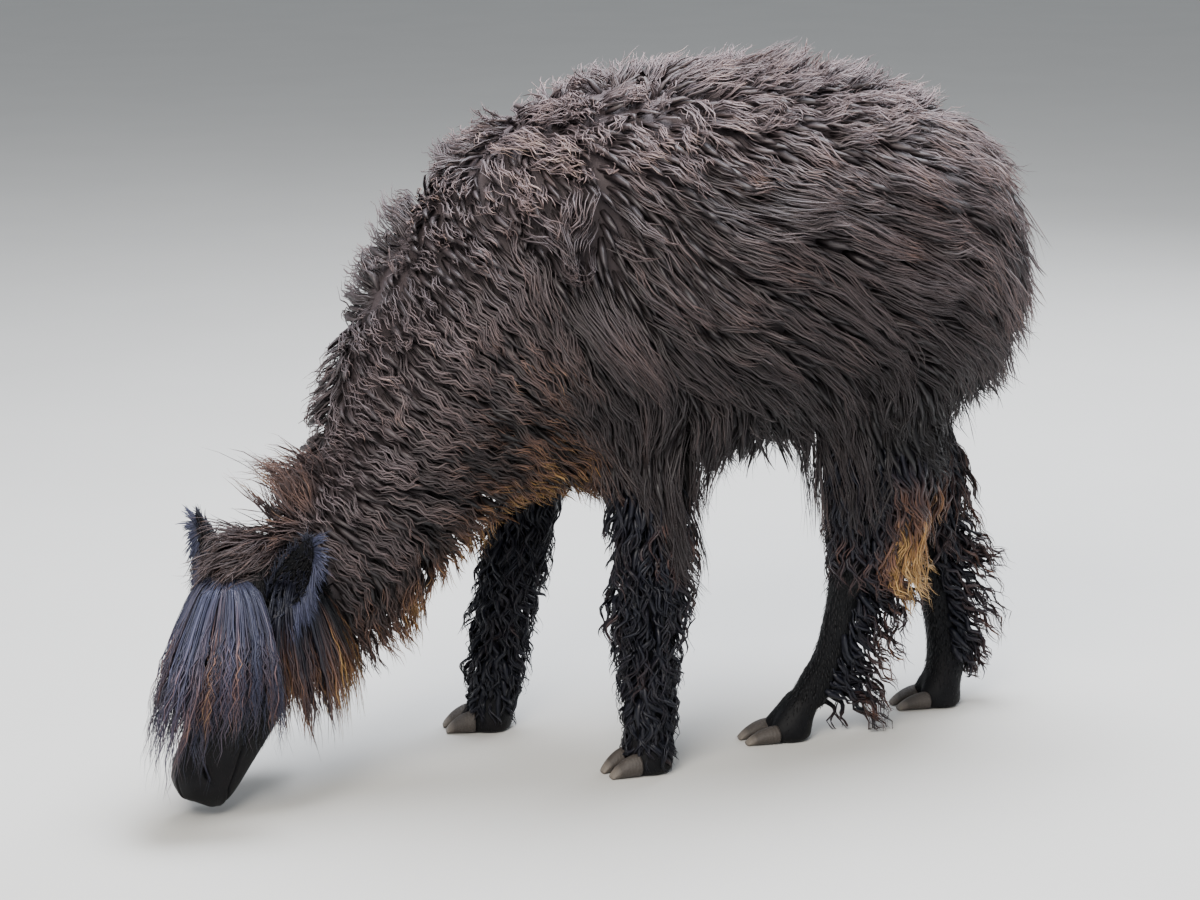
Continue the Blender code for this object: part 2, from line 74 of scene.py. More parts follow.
EYE_RADIUS = 0.0185
EYE_AT = (0.36 * HEAD_LENGTH, 0.016, 0.0560)
LID_REACH = 0.034  # the lids are shaped this far from the middle of the eye
EAR_LENGTH = 0.130
EAR_HALF_WIDTH = 0.029
FETLOCK_HEIGHT = 0.072
FOOT_LENGTH = 0.088
FOOT_HALF_WIDTH = 0.043
VOXEL = 0.0042
MAP_PATCH = 0.003  # a tuft's patch on the skin's unwrap
FRINGE_LIMIT = -0.230  # past this place to the llama's left the fringe bends back, within the room after it
FRINGE_ROOM = 0.050

SIDES = {"left": 1, "right": -1}
LEGS = ("fore_left", "fore_right", "hind_left", "hind_right")
FOOT_SPOT = {
    "fore_left": (0.05402, -0.13601),
    "fore_right": (-0.14098, 0.13799),
    "hind_left": (0.32302, -0.04801),
    "hind_right": (0.63102, 0.04999),
}
PASTERN_LEAN = {"fore_left": 0.0, "fore_right": 0.006, "hind_left": 0.032, "hind_right": 0.012}
TOE_TURN = {"fore_left": 0.20, "fore_right": -0.06, "hind_left": 0.10, "hind_right": 0.05}

# A section of the body under its coat: how far the skin reaches from the centre to each side, towards the
# belly, throat or front of a leg, and towards the back. tilt leans the section and turn swings it (degrees).
Section = namedtuple("Section", "x y z side fore aft tilt turn", defaults=(0, 0))

SPINE = (
    Section(0.694, 0.000, 0.800, 0.030, 0.040, 0.040),
    Section(0.676, 0.000, 0.796, 0.092, 0.112, 0.112),
    Section(0.640, 0.000, 0.792, 0.138, 0.168, 0.172),
    Section(0.600, 0.000, 0.790, 0.164, 0.202, 0.204),
    Section(0.546, 0.000, 0.788, 0.184, 0.222, 0.236),
    Section(0.420, 0.001, 0.790, 0.202, 0.230, 0.282),
    Section(0.275, 0.001, 0.790, 0.208, 0.258, 0.304),
    Section(0.115, 0.001, 0.785, 0.202, 0.284, 0.306),
    Section(-0.025, 0.001, 0.765, 0.186, 0.288, 0.294, 10, 0),
    Section(-0.135, -0.003, 0.722, 0.160, 0.260, 0.254, 22, 1.7),
    Section(-0.225, -0.011, 0.655, 0.132, 0.210, 0.200, 36, 4.6),
    Section(-0.308, -0.021, 0.556, 0.106, 0.156, 0.146, 48, 8),
    Section(-0.370, -0.033, 0.458, 0.088, 0.130, 0.108, 54, 11.5),
    Section(-0.425, -0.043, 0.370, 0.072, 0.110, 0.108, 56, 15),
    Section(-0.470, -0.053, 0.312, 0.058, 0.090, 0.094, 57, 19.5),
    Section(-0.497, -0.059, 0.285, 0.044, 0.070, 0.076, 58, 23),
)

TAIL = (
    Section(0.655, 0.001, 0.880, 0.016, 0.016, 0.016),
    Section(0.694, 0.004, 0.840, 0.020, 0.020, 0.018),
    Section(0.712, 0.010, 0.770, 0.018, 0.016, 0.014),
    Section(0.706, 0.014, 0.690, 0.015, 0.013, 0.012),
    Section(0.686, 0.016, 0.610, 0.010, 0.009, 0.009),
)

LIMBS = {
    "fore_left": (
        Section(0.030, -0.100, 0.620, 0.054, 0.066, 0.066),
        Section(0.045, -0.130, 0.500, 0.045, 0.050, 0.056),
        Section(0.052, -0.137, 0.400, 0.036, 0.040, 0.044),
        Section(0.050, -0.136, 0.318, 0.034, 0.037, 0.037),
        Section(0.050, -0.136, 0.270, 0.029, 0.032, 0.030),
        Section(0.053, -0.136, 0.190, 0.023, 0.025, 0.025),
        Section(0.054, -0.136, 0.120, 0.024, 0.026, 0.027),
        Section(0.054, -0.136, 0.075, 0.030, 0.032, 0.032),
        Section(0.054, -0.136, 0.040, 0.032, 0.034, 0.030),
    ),
    "fore_right": (
        Section(-0.005, 0.104, 0.620, 0.054, 0.066, 0.066),
        Section(-0.036, 0.138, 0.490, 0.045, 0.050, 0.054),
        Section(-0.072, 0.140, 0.390, 0.036, 0.038, 0.042),
        Section(-0.096, 0.139, 0.308, 0.034, 0.036, 0.036),
        Section(-0.107, 0.139, 0.255, 0.029, 0.031, 0.030),
        Section(-0.122, 0.138, 0.175, 0.023, 0.025, 0.025),
        Section(-0.132, 0.138, 0.115, 0.024, 0.026, 0.027),
        Section(-0.135, 0.138, 0.075, 0.030, 0.032, 0.032),
        Section(-0.139, 0.138, 0.040, 0.032, 0.034, 0.030),
    ),
    "hind_left": (
        Section(0.460, -0.092, 0.680, 0.080, 0.120, 0.120),
        Section(0.446, -0.112, 0.560, 0.070, 0.098, 0.100),
        Section(0.440, -0.112, 0.460, 0.054, 0.066, 0.074),
        Section(0.438, -0.100, 0.385, 0.040, 0.048, 0.054),
        Section(0.418, -0.091, 0.320, 0.034, 0.038, 0.046),
        Section(0.404, -0.078, 0.240, 0.025, 0.028, 0.032),
        Section(0.389, -0.064, 0.150, 0.023, 0.027, 0.026),
        Section(0.368, -0.053, 0.095, 0.027, 0.031, 0.030),
        Section(0.352, -0.050, 0.055, 0.031, 0.034, 0.030),
    ),
    "hind_right": (
        Section(0.520, 0.092, 0.680, 0.080, 0.116, 0.112),
        Section(0.545, 0.112, 0.560, 0.070, 0.094, 0.092),
        Section(0.582, 0.112, 0.460, 0.054, 0.064, 0.068),
        Section(0.606, 0.101, 0.385, 0.041, 0.048, 0.052),
        Section(0.606, 0.090, 0.315, 0.034, 0.038, 0.046),
        Section(0.620, 0.076, 0.230, 0.026, 0.029, 0.032),
        Section(0.634, 0.063, 0.145, 0.023, 0.027, 0.026),
        Section(0.642, 0.055, 0.095, 0.027, 0.031, 0.030),
        Section(0.641, 0.051, 0.055, 0.031, 0.034, 0.030),
    ),
}

# ---------------------------------------------------------------- small helpers


def unit(vectors):
    """Vectors along the last axis, brought to length one."""
    return vectors / np.maximum(np.linalg.norm(vectors, axis=-1, keepdims=True), 1e-9)


def smooth_step(low, high, value):
    t = np.clip((value - low) / (high - low), 0, 1)
    return t * t * (3 - 2 * t)


def bell(distance, width):
    return np.exp(-((distance / width) ** 2))


def resample(rows, count):
    """Rows read at even steps along a smooth curve through them (a Hermite spline by chord length)."""
    rows = np.asarray(rows, float)
    lengths = np.concatenate([[0], np.cumsum(np.linalg.norm(np.diff(rows[:, :3], axis=0), axis=1))])
    at = np.linspace(0, lengths[-1], count)
    i = np.clip(np.searchsorted(lengths, at, side="right") - 1, 0, len(rows) - 2)
    low, high = np.maximum(np.arange(len(rows)) - 1, 0), np.minimum(np.arange(len(rows)) + 1, len(rows) - 1)
    slopes = (rows[high] - rows[low]) / (lengths[high] - lengths[low])[:, None]
    span = (lengths[i + 1] - lengths[i])[:, None]
    t = (at - lengths[i])[:, None] / span
    t2, t3 = t * t, t**3
    start = (2 * t3 - 3 * t2 + 1) * rows[i] + (t3 - 2 * t2 + t) * span * slopes[i]
    return start + (3 * t2 - 2 * t3) * rows[i + 1] + (t3 - t2) * span * slopes[i + 1]


def read_all(items, name, kind=float, size=1):
    """One property of all the items of a mesh, as an array."""
    found = np.empty(len(items) * size, kind)
    items.foreach_get(name, found)
    return found.reshape(-1, size) if size > 1 else found


def points_of(mesh):
    return read_all(mesh.vertices, "co", float, 3)


def normals_of(mesh):
    return read_all(mesh.vertices, "normal", np.float32, 3).astype(float)


def set_points(mesh, points):
    mesh.vertices.foreach_set("co", np.asarray(points, np.float32).ravel())
    mesh.update()


def write_value(mesh, name, values, kind="FLOAT", domain="POINT"):
    """Stores one number, or one vector, for each point or corner."""
    made = mesh.attributes.new(name, kind, domain)
    made.data.foreach_set("vector" if "VECTOR" in kind else "value", np.asarray(values, np.float32).ravel())


def corners_of(mesh):
    """The point at each corner of each face."""
    return read_all(mesh.loops, "vertex_index", np.int64)


def write_map(mesh, flat):
    """Stores the unwrap, given corner by corner."""
    mesh.uv_layers.new(name="OFBake").data.foreach_set("uv", flat.astype(np.float32).ravel())


def mesh_from(shell, name):
    """Turns a finished bmesh into a mesh."""
    mesh = bpy.data.meshes.new(name)
    shell.to_mesh(mesh)
    shell.free()
    return mesh


def new_object(name, mesh):
    made = bpy.data.objects.new(name, mesh)
    bpy.context.scene.collection.objects.link(made)
    return made


def applied(piece):
    """Turns a piece with modifiers into a plain mesh."""
    graph = bpy.context.evaluated_depsgraph_get()
    mesh = bpy.data.meshes.new_from_object(piece.evaluated_get(graph), depsgraph=graph)
    old = piece.data
    piece.modifiers.clear()
    piece.data = mesh
    bpy.data.meshes.remove(old)
    return piece


def remeshed(piece, voxel):
    fuse = piece.modifiers.new("fuse", "REMESH")
    fuse.mode = "VOXEL"
    fuse.voxel_size = voxel
    return applied(piece)


def closed_rings(shell, rings):
    """Adds one closed surface through rings of points, with each end brought to its middle."""
    rows = [[shell.verts.new(p) for p in ring] for ring in rings]
    count = len(rows[0])
    for low, high in zip(rows, rows[1:]):
        for k in range(count):
            n = (k + 1) % count
            shell.faces.new((low[k], low[n], high[n], high[k]))
    for row in (rows[0], rows[-1]):
        middle = shell.verts.new(sum((v.co for v in row), Vector()) / count)
        for k in range(count):
            shell.faces.new((row[k], row[(k + 1) % count], middle))


def lofts(name, surfaces):
    """One mesh of closed surfaces, each given by its rings."""
    shell = bmesh.new()
    for rings in surfaces:
        closed_rings(shell, rings)
    bmesh.ops.recalc_face_normals(shell, faces=shell.faces)
    return mesh_from(shell, name)


def section_rings(sections, upright, count, segments=28, fullness=2.2):
    """Rings of a loft through the sections."""
    angles = np.arange(segments) * math.tau / segments
    across = np.sign(np.cos(angles)) * np.abs(np.cos(angles)) ** (2 / fullness)
    along = np.sign(np.sin(angles)) * np.abs(np.sin(angles)) ** (2 / fullness)
    rings = []
    for x, y, z, side, fore, aft, tilt, turn in resample(sections, count):
        swing = Matrix.Rotation(math.radians(turn), 3, "Z")
        lean = Matrix.Rotation(-math.radians(tilt), 3, "Y")
        side_way = np.array(swing @ Vector((0, 1, 0)))
        fore_way = np.array(swing @ (lean @ (Vector((-1, 0, 0)) if upright else Vector((0, 0, -1)))))
        reach = np.where(along > 0, fore, aft) * along
        rings.append(np.array((x, y, z)) + np.outer(side * across, side_way) + np.outer(reach, fore_way))
    return rings


# ---------------------------------------------------------------- the skin


def head_rings(count=44, segments=40):
    """Skull, cheeks and muzzle without their coat: (share of the length, half width, brow, jaw)."""
    profile = (
        (-0.090, 0.034, 0.022, 0.038),
        (0.000, 0.051, 0.041, 0.076),
        (0.120, 0.058, 0.051, 0.100),
        (0.260, 0.064, 0.055, 0.112),
        (0.400, 0.061, 0.051, 0.114),
        (0.540, 0.053, 0.046, 0.116),
        (0.680, 0.046, 0.042, 0.101),
        (0.800, 0.044, 0.0415, 0.080),
        (0.900, 0.0435, 0.0415, 0.062),
        (0.975, 0.0390, 0.0360, 0.048),
        (1.020, 0.021, 0.019, 0.032),
    )
    rows = [(share * HEAD_LENGTH, 0, 0, *rest) for share, *rest in profile]
    angles = np.arange(segments) * math.tau / segments
    across, up = np.cos(angles), np.sin(angles)
    squarish = 1 + 0.10 * np.sin(2 * angles) ** 2
    rings = []
    for along, _, _, wide, brow, jaw in resample(rows, count):
        out = up * np.where(up > 0, brow, jaw) * squarish
        left = across * wide * squarish
        local = np.stack([np.full(segments, along), out, left], axis=1)
        rings.append(HEAD_ORIGIN + local @ HEAD_FRAME)
    return rings


def foot_rings(kind, segments=36):
    """A pastern that widens into two soft toes with a flat sole."""
    back, front = FOOT_LENGTH * 0.42, FOOT_LENGTH * 0.58
    slim, wide, lean, top = 0.032, FOOT_HALF_WIDTH, PASTERN_LEAN[kind], FETLOCK_HEIGHT
    swing = np.array(Matrix.Rotation(TOE_TURN[kind], 3, "Z"))
    # height, front, back, half width, shift, how deep the cleft between the toes is
    rows = resample(
        (
            (top, 0, 0, slim, slim, slim, lean, 0.00),
            (top * 0.72, 0, 0, front * 0.72, slim, slim * 1.06, lean * 0.55, 0.08),
            (top * 0.42, 0, 0, front * 0.90, back * 0.88, wide * 0.94, lean * 0.2, 0.28),
            (top * 0.16, 0, 0, front * 0.98, back * 0.98, wide * 0.98, 0, 0.42),
            (0.0012, 0, 0, front * 0.91, back * 0.91, wide * 0.88, 0, 0.46),
        ),
        16,
    )
    angles = np.arange(segments) * math.tau / segments
    across, along = np.cos(angles), np.sin(angles)
    rings = []
    for height, _, _, fore, aft, side, shift, cleft in rows:
        notch = np.where(along > 0, 1 - cleft * bell(across, 0.20), 1)
        local = np.stack([shift - np.where(along > 0, fore, aft) * along * notch, side * across], axis=1)
        flat = np.column_stack([local, np.full(segments, height)]) @ swing.T
        rings.append(flat + np.array((*FOOT_SPOT[kind], 0)))
    return rings


def ear_frame(side):
    """The ear's root, and its directions: up to the tip, out of the cup, and across."""
    sign = SIDES[side]
    root = np.array(POLL + HEAD_AXIS * (0.18 * HEAD_LENGTH) + FOREHEAD * 0.015 + LEFT_CHEEK * (sign * 0.068))
    up = (Vector((0, 0, 1)) * 0.90 + LEFT_CHEEK * (sign * 0.44) - FACING * 0.24).normalized()
    cup = (FACING + LEFT_CHEEK * (sign * 0.12)).normalized()
    cup = (cup - up * cup.dot(up)).normalized()
    return root, np.array(up), np.array(cup), np.array(up.cross(cup))


def ear_shape(t):
    """Half width, depth of the hollow and how far the ear bows back, at the share t of its length."""
    t = np.maximum(t, 0)
    half = EAR_HALF_WIDTH * np.sin(math.pi * np.minimum(1.0, 0.22 + 0.78 * t)) ** 0.8
    return half, 0.019 * (1 - t) + 0.004, 0.012 * np.sin(math.pi * t)


def ear_rings(side, rows=26, columns=13):
    """A spear-shaped ear, cupped towards the front, with a rolled rim. It starts a little inside the head."""
    root, up, cup, across = ear_frame(side)
    u = np.linspace(-1, 1, columns)
    u = np.concatenate([u, u[::-1]])
    face = np.repeat([1.0, -1.0], columns)
    rim = np.where(np.abs(u) > 0.99, 0.45, 1.0)
    rings = []
    for row in range(rows + 1):
        t = -0.10 + 1.10 * row / rows
        shown = max(t, 0)
        half, hollow, bow = ear_shape(t)
        wall = 0.0046 * (1 - 0.45 * shown)
        centre = root + up * (EAR_LENGTH * t) - cup * bow
        centre -= LEFT * (SIDES[side] * 0.016 * max(0.0, 1 - shown / 0.3) ** 2)
        depth = -hollow * (1 - u * u) + face * wall / 2 * rim
        rings.append(centre + np.outer(max(half, 0.0025) * u, across) + np.outer(depth, cup))
    return rings


def head_places(points):
    """Where points are in the head's own frame: along it, out of the forehead, out of the left cheek."""
    return (points - HEAD_ORIGIN) @ HEAD_FRAME.T


def refine(mesh, choose):
    """Splits the faces whose centre choose() accepts into four."""
    shell = bmesh.new()
    shell.from_mesh(mesh)
    centres = np.array([f.calc_center_median() for f in shell.faces])
    wanted = choose(centres)
    faces = [f for f, w in zip(shell.faces, wanted) if w]
    edges = list({e for f in faces for e in f.edges})
    bmesh.ops.subdivide_edges(shell, edges=edges, cuts=1, use_grid_fill=True)
    bmesh.ops.triangulate(shell, faces=[f for f in shell.faces if len(f.verts) > 4])
    shell.to_mesh(mesh)
    shell.free()
    mesh.update()


def keep_largest(mesh):
    """Deletes the small closed bubbles that the remesh leaves where two lofts nearly touch."""
    shell = bmesh.new()
    shell.from_mesh(mesh)
    shell.verts.ensure_lookup_table()
    seen, best = set(), []
    for first in shell.verts:
        if first in seen:
            continue
        island, todo = [], [first]
        seen.add(first)
        while todo:
            vert = todo.pop()
            island.append(vert)
            for edge in vert.link_edges:
                other = edge.other_vert(vert)
                if other not in seen:
                    seen.add(other)
                    todo.append(other)
        if len(island) > len(best):
            best, island = island, best
        bmesh.ops.delete(shell, geom=island, context="VERTS")
    shell.to_mesh(mesh)
    shell.free()


def thin_out(skin, ratio):
    """Fewer faces on the body, where the coat hides them, and all of them on the head and feet."""
    points = points_of(skin.data)
    places = head_places(points)
    head = (places[:, 0] > 0) & (np.abs(places[:, 2]) < 0.10) & (places[:, 1] > -0.14)
    head &= points[:, 0] < -0.45
    foot = points[:, 2] < 0.10
    group = skin.vertex_groups.new(name="body")
    for value, chosen in ((1.0, ~(head | foot)), (0.25, foot & ~head)):
        group.add(np.flatnonzero(chosen).tolist(), value, "REPLACE")
    fewer = skin.modifiers.new("fewer", "DECIMATE")
    fewer.ratio = ratio
    fewer.vertex_group = "body"
    applied(skin)
    skin.vertex_groups.clear()


def relax(mesh, rounds, share, weight=None):
    """Moves each point part of the way to the middle of its neighbours."""
    a, b = read_all(mesh.edges, "vertices", np.int64, 2).T
    points = points_of(mesh)
    count = np.bincount(a, minlength=len(points)) + np.bincount(b, minlength=len(points))
    for _ in range(rounds):
        total = np.zeros_like(points)
        for axis in range(3):
            total[:, axis] = np.bincount(a, points[b, axis], len(points))
            total[:, axis] += np.bincount(b, points[a, axis], len(points))
        shift = (total / np.maximum(count, 1)[:, None] - points) * share
        points += shift if weight is None else shift * weight[:, None]
    set_points(mesh, points)


# Soft forms of the face: how far each stands out, its place (share of the head, out, sideways), its radius.
FACE_FORMS = (
    (0.0040, 0.30, 0.036, 0.050, 0.024),  # brow
    (0.0030, 0.27, -0.060, 0.058, 0.040),  # jaw muscle
    (-0.0045, 0.60, -0.006, 0.052, 0.030),  # hollow in front of the cheek
    (0.0042, 0.945, -0.004, 0.020, 0.017),  # pads of the upper lip
    (0.0040, 0.900, -0.052, 0.000, 0.020),  # chin
)
MUZZLE_LEAN = math.radians(12)
MUZZLE_SHIFT = 0.014  # to the right
MUZZLE_DIP = 0.004  # towards the throat
LIP_SLANT = 0.14  # how much lower the lower lip reaches than the upper one, for each metre between them


def shape_head(mesh):
    """Brow, cheek, bridge of the nose, nostrils, split lip, mouth, chin and eyelids."""
    points = points_of(mesh)
    along, out, left = head_places(points).T
    size = HEAD_LENGTH
    near = (along > -0.05) & (along < size * 1.03) & (np.abs(left) < 0.09) & (out > -0.13) & (out < 0.08)
    side, share = np.abs(left), along / size
    swell = 0.0030 * bell(left, 0.012) * smooth_step(0, 0.02, out) * smooth_step(0.30, 0.45, share)
    for amount, a, o, l, radius in FACE_FORMS:
        swell += amount * bell(np.sqrt((along - a * size) ** 2 + (out - o) ** 2 + (side - l) ** 2), radius)
    # Each nostril is a slanting slit with a raised rim.
    a, o = along - 0.895 * size, out - 0.020
    down_slit = a * 0.80 - o * 0.60
    off_slit = a * 0.60 + o * 0.80 + 14.0 * down_slit**2
    open_here = smooth_step(0.018, 0.026, side) * bell(down_slit, 0.0130)
    swell += 0.0034 * open_here * bell(np.abs(off_slit) - 0.0062, 0.0042)
    swell -= 0.0110 * open_here * bell(off_slit, 0.0034)
    # The upper lip is split in front, and the mouth runs back below it.
    swell -= 0.0060 * bell(left, 0.0022) * smooth_step(0.90, 0.95, share) * smooth_step(-0.034, -0.026, out)
    mouth = out + 0.030 - 0.10 * np.maximum(0.86 * size - along, 0) + 0.6 * np.maximum(along - 0.93 * size, 0)
    swell -= 0.0058 * bell(mouth, 0.0026) * smooth_step(0.66, 0.72, share)
    swell += 0.0018 * bell(mouth - 0.008, 0.0050) * smooth_step(0.68, 0.76, share)
    points[near] += (normals_of(mesh) * swell[:, None])[near]
    # The mouth is pushed forwards to graze: the lower lip reaches below the nose, and the muzzle leans aside.
    along, out, left = head_places(points).T
    muzzle = smooth_step(0.60, 0.96, along / size) * near
    lean = MUZZLE_LEAN * muzzle
    lower = -LIP_SLANT * (out + 0.020) * smooth_step(0.76, 1.0, along / size) * near
    aside = left * np.cos(lean) - out * np.sin(lean) - MUZZLE_SHIFT * muzzle
    ahead = out * np.cos(lean) + left * np.sin(lean) - MUZZLE_DIP * muzzle
    moved = np.stack([along + lower, ahead, aside], axis=1) @ HEAD_FRAME + HEAD_ORIGIN
    points[near] = moved[near]
    # The lids lie on the eyeball round an almond-shaped opening.
    for sign in SIDES.values():
        ball = HEAD_ORIGIN + np.array((EYE_AT[0], EYE_AT[1], sign * EYE_AT[2])) @ HEAD_FRAME
        arm = points - ball
        reach = np.linalg.norm(arm, axis=1)
        a, o, l = (arm @ HEAD_FRAME.T).T
        lens = np.abs(o - 0.0015) - 0.0105 * np.clip(1 - (a / 0.0175) ** 2, -1, 1)  # negative in the opening
        lid = (l * sign > 0.003) & (reach < LID_REACH)
        cover = EYE_RADIUS + 0.0026
        target = cover + 0.55 * np.maximum(reach - cover, 0)
        target += 0.0014 * bell(lens - 0.0022, 0.0022)  # the rim of the lid
        target += (EYE_RADIUS - 0.0030 - target) * smooth_step(0.0008, -0.0008, lens)
        moved = ball + arm * (target / np.maximum(reach, 1e-6))[:, None]
        blend = smooth_step(LID_REACH, 0.024, reach)
        points[lid] += ((moved - points) * blend[:, None])[lid]
    set_points(mesh, points)


BODY_SHARE = 0.22  # of the faces, which thinning leaves
LID_AREA, SLIT_AREA = 0.036, 0.025  # radii round an eye with finer faces, and with the finest


def build_skin():
    """The lofts of the body fused to one surface, then the ears, and then the shape of the face."""
    surfaces = [section_rings(SPINE, False, 60, 40), section_rings(TAIL, True, 24, 16)]
    for kind in LEGS:
        surfaces += [section_rings(LIMBS[kind], True, 48), foot_rings(kind)]
    skin = remeshed(new_object("skin", lofts("skin", [*surfaces, head_rings()])), VOXEL)
    keep_largest(skin.data)
    relax(skin.data, 6, 0.5)
    thin_out(skin, BODY_SHARE)
    ears = new_object("ears", lofts("ears", [ear_rings(side) for side in SIDES]))
    join = skin.modifiers.new("join", "BOOLEAN")
    join.operation, join.solver, join.object = "UNION", "MANIFOLD", ears
    applied(skin)
    bpy.data.objects.remove(ears)

    def near_eye(along, out, left, radius):
        beside = np.abs(np.abs(left) - EYE_AT[2]) < 0.03
        return (np.hypot(along - EYE_AT[0], out - EYE_AT[1]) < radius) & beside

    def fine(centres):
        along, out, left = head_places(centres).T
        muzzle = (along > 0.62 * HEAD_LENGTH) & (np.abs(left) < 0.08) & (out > -0.10) & (out < 0.08)
        return muzzle | near_eye(along, out, left, LID_AREA)

    refine(skin.data, fine)
    refine(skin.data, lambda centres: near_eye(*head_places(centres).T, SLIT_AREA))
    places = head_places(points_of(skin.data))
    face = (places[:, 0] > 0.2 * HEAD_LENGTH) & (np.abs(places[:, 2]) < 0.09)
    relax(skin.data, 2, 0.5, face.astype(float))
    shape_head(skin.data)
    skin.data.shade_smooth()
    return skin


# ---------------------------------------------------------------- where things are on the body

SPINE_PATH = resample(SPINE, 160)
SPINE_SWING = [Matrix.Rotation(math.radians(row[7]), 3, "Z") for row in SPINE_PATH]
SPINE_LEAN = [Matrix.Rotation(-math.radians(row[6]), 3, "Y") for row in SPINE_PATH]
SPINE_SIDE = np.array([swing @ Vector((0, 1, 0)) for swing in SPINE_SWING])
SPINE_BACK = np.array([swing @ lean @ Vector((0, 0, 1)) for swing, lean in zip(SPINE_SWING, SPINE_LEAN)])
LIMB_PATHS = {kind: resample(LIMBS[kind], 60)[:, :3] for kind in LEGS}
LEG_TOP = {"fore_left": 0.475, "fore_right": 0.475, "hind_left": 0.525, "hind_right": 0.525}
PARTS = ("body", *LEGS, "head", "ear_left", "ear_right")
# Each part's own box on the unwrap of the skin: left, right, bottom, top.
MAP_BOXES = {
    "body": (0.02, 0.98, 0.42, 0.98),
    "fore_left": (0.02, 0.16, 0.02, 0.38),
    "fore_right": (0.18, 0.32, 0.02, 0.38),
    "hind_left": (0.34, 0.48, 0.02, 0.38),
    "hind_right": (0.50, 0.64, 0.02, 0.38),
    "head": (0.68, 0.98, 0.02, 0.28),
    "ear_left": (0.68, 0.82, 0.30, 0.38),
    "ear_right": (0.84, 0.98, 0.30, 0.38),
}


def spine_places(points):
    """How far along the spine points are, from 0 at the rump to 1 behind the ears, and their angle round it:
    0 over the back, a quarter turn on the sides and half a turn underneath, positive on the right."""
    centres = SPINE_PATH[:, :3]
    apart = (points**2).sum(1)[:, None] - 2 * points @ centres.T + (centres**2).sum(1)
    near = apart.argmin(axis=1)
    arm = points - centres[near]
    angle = np.arctan2((arm * SPINE_SIDE[near]).sum(1), (arm * SPINE_BACK[near]).sum(1))
    return near / (len(centres) - 1), angle


def limb_offset(points, kind):
    """From the axis of a leg to points, level."""
    path = LIMB_PATHS[kind]
    level = np.stack([np.interp(points[:, 2], path[::-1, 2], path[::-1, k]) for k in (0, 1)], axis=1)
    return points[:, :2] - level


def ear_places(points, side):
    root, up, cup, across = ear_frame(side)
    return (points - root) @ np.array([up, cup, across]).T


def part_of(points):
    """The number in PARTS of the part that each point of the skin is on."""
    found = np.zeros(len(points), int)
    for number, kind in enumerate(LEGS, 1):
        reach = np.linalg.norm(limb_offset(points, kind), axis=1)
        found[(points[:, 2] < LEG_TOP[kind]) & (reach < 0.115)] = number
    along, out, left = head_places(points).T
    head = (along > -0.040) & (along < 0.40) & (np.abs(left) < 0.085) & (np.abs(out + 0.03) < 0.11)
    found[head] = PARTS.index("head")
    for side in SIDES:
        up, cup, across = ear_places(points, side).T
        outside = left * SIDES[side] > 0.060
        ear = (up > 0.006) & (up < 0.14) & (np.abs(across) < 0.04) & (np.abs(cup + 0.01) < 0.035) & outside
        found[ear] = PARTS.index("ear_" + side)
    return found


def unwrap(points, part):
    """Places on an unwrap of the skin: each part is slit lengthwise and opened flat in its own box."""
    share = np.zeros((len(points), 2))
    turn = np.zeros(len(points))
    body = part == 0
    along, angle = spine_places(points[body])
    share[body, 0], turn[body] = along, angle
    for number, kind in enumerate(LEGS, 1):
        here = part == number
        x, y = limb_offset(points[here], kind).T
        share[here, 0], turn[here] = points[here, 2] / LEG_TOP[kind], np.arctan2(y, x)
    here = part == PARTS.index("head")
    along, out, left = head_places(points[here]).T
    share[here, 0], turn[here] = (along + 0.04) / 0.44, np.arctan2(left, out + 0.02)
    for side in SIDES:
        here = part == PARTS.index("ear_" + side)
        up, cup, across = ear_places(points[here], side).T
        share[here, 0], turn[here] = up / 0.14, np.arctan2(across, cup + 0.012)
    share[:, 1] = turn / math.tau + 0.5
    boxes = np.array([MAP_BOXES[name] for name in PARTS])[part]
    # The body lies along its box, and the limbs, head and ears stand in theirs.
    flip = np.where(body[:, None], share, share[:, ::-1])
    low, size = boxes[:, [0, 2]], boxes[:, [1, 3]] - boxes[:, [0, 2]]
    return low + np.clip(flip, 0, 1) * size


def map_skin(mesh):
    """Writes the unwrap on the skin itself. A face over a slit takes all its corners from one side of it."""
    corners = corners_of(mesh)
    starts = read_all(mesh.polygons, "loop_start", np.int64)
    face = np.searchsorted(starts, np.arange(len(corners)), side="right") - 1
    points = points_of(mesh)[corners]
    middle = np.stack([np.bincount(face, points[:, k]) for k in range(3)], axis=1)
    middle /= np.bincount(face)[:, None]
    part = part_of(middle)
    centre = unwrap(middle, part)[face]
    flat = unwrap(points, part[face])
    boxes = np.array([MAP_BOXES[name] for name in PARTS])[part[face]]
    wrap = np.where(part[face] == 0, boxes[:, 3] - boxes[:, 2], boxes[:, 1] - boxes[:, 0])
    axis = np.where(part[face] == 0, 1, 0)
    rows = np.arange(len(flat))
    jump = flat[rows, axis] - centre[rows, axis]
    flat[rows, axis] -= np.where(np.abs(jump) > wrap / 2, np.sign(jump) * wrap, 0)
    write_map(mesh, flat)


# ---------------------------------------------------------------- strands


def swirl(points, size, seed):
    """A smooth field of random vectors, about size across from one bend to the next."""
    draw = np.random.default_rng(seed)
    total = np.zeros((len(points), 3))
    for _ in range(6):
        way = unit(draw.normal(size=3)) * math.tau / (size * draw.uniform(1.4, 3.0))
        total += np.sin(points @ way + draw.uniform(0, math.tau))[:, None] * draw.uniform(-1, 1, 3)
    return total / 1.7


def nearest(tree, points):
    """The closest places on a surface, its normals there, and signed distances, positive outside."""
    found = [tree.find_nearest(p) for p in points.tolist()]
    on = np.array([f[0] for f in found])
    normal = np.array([f[1] for f in found])
    away = points - on
    return on, normal, np.linalg.norm(away, axis=1) * np.sign((away * normal).sum(1) + 1e-12)


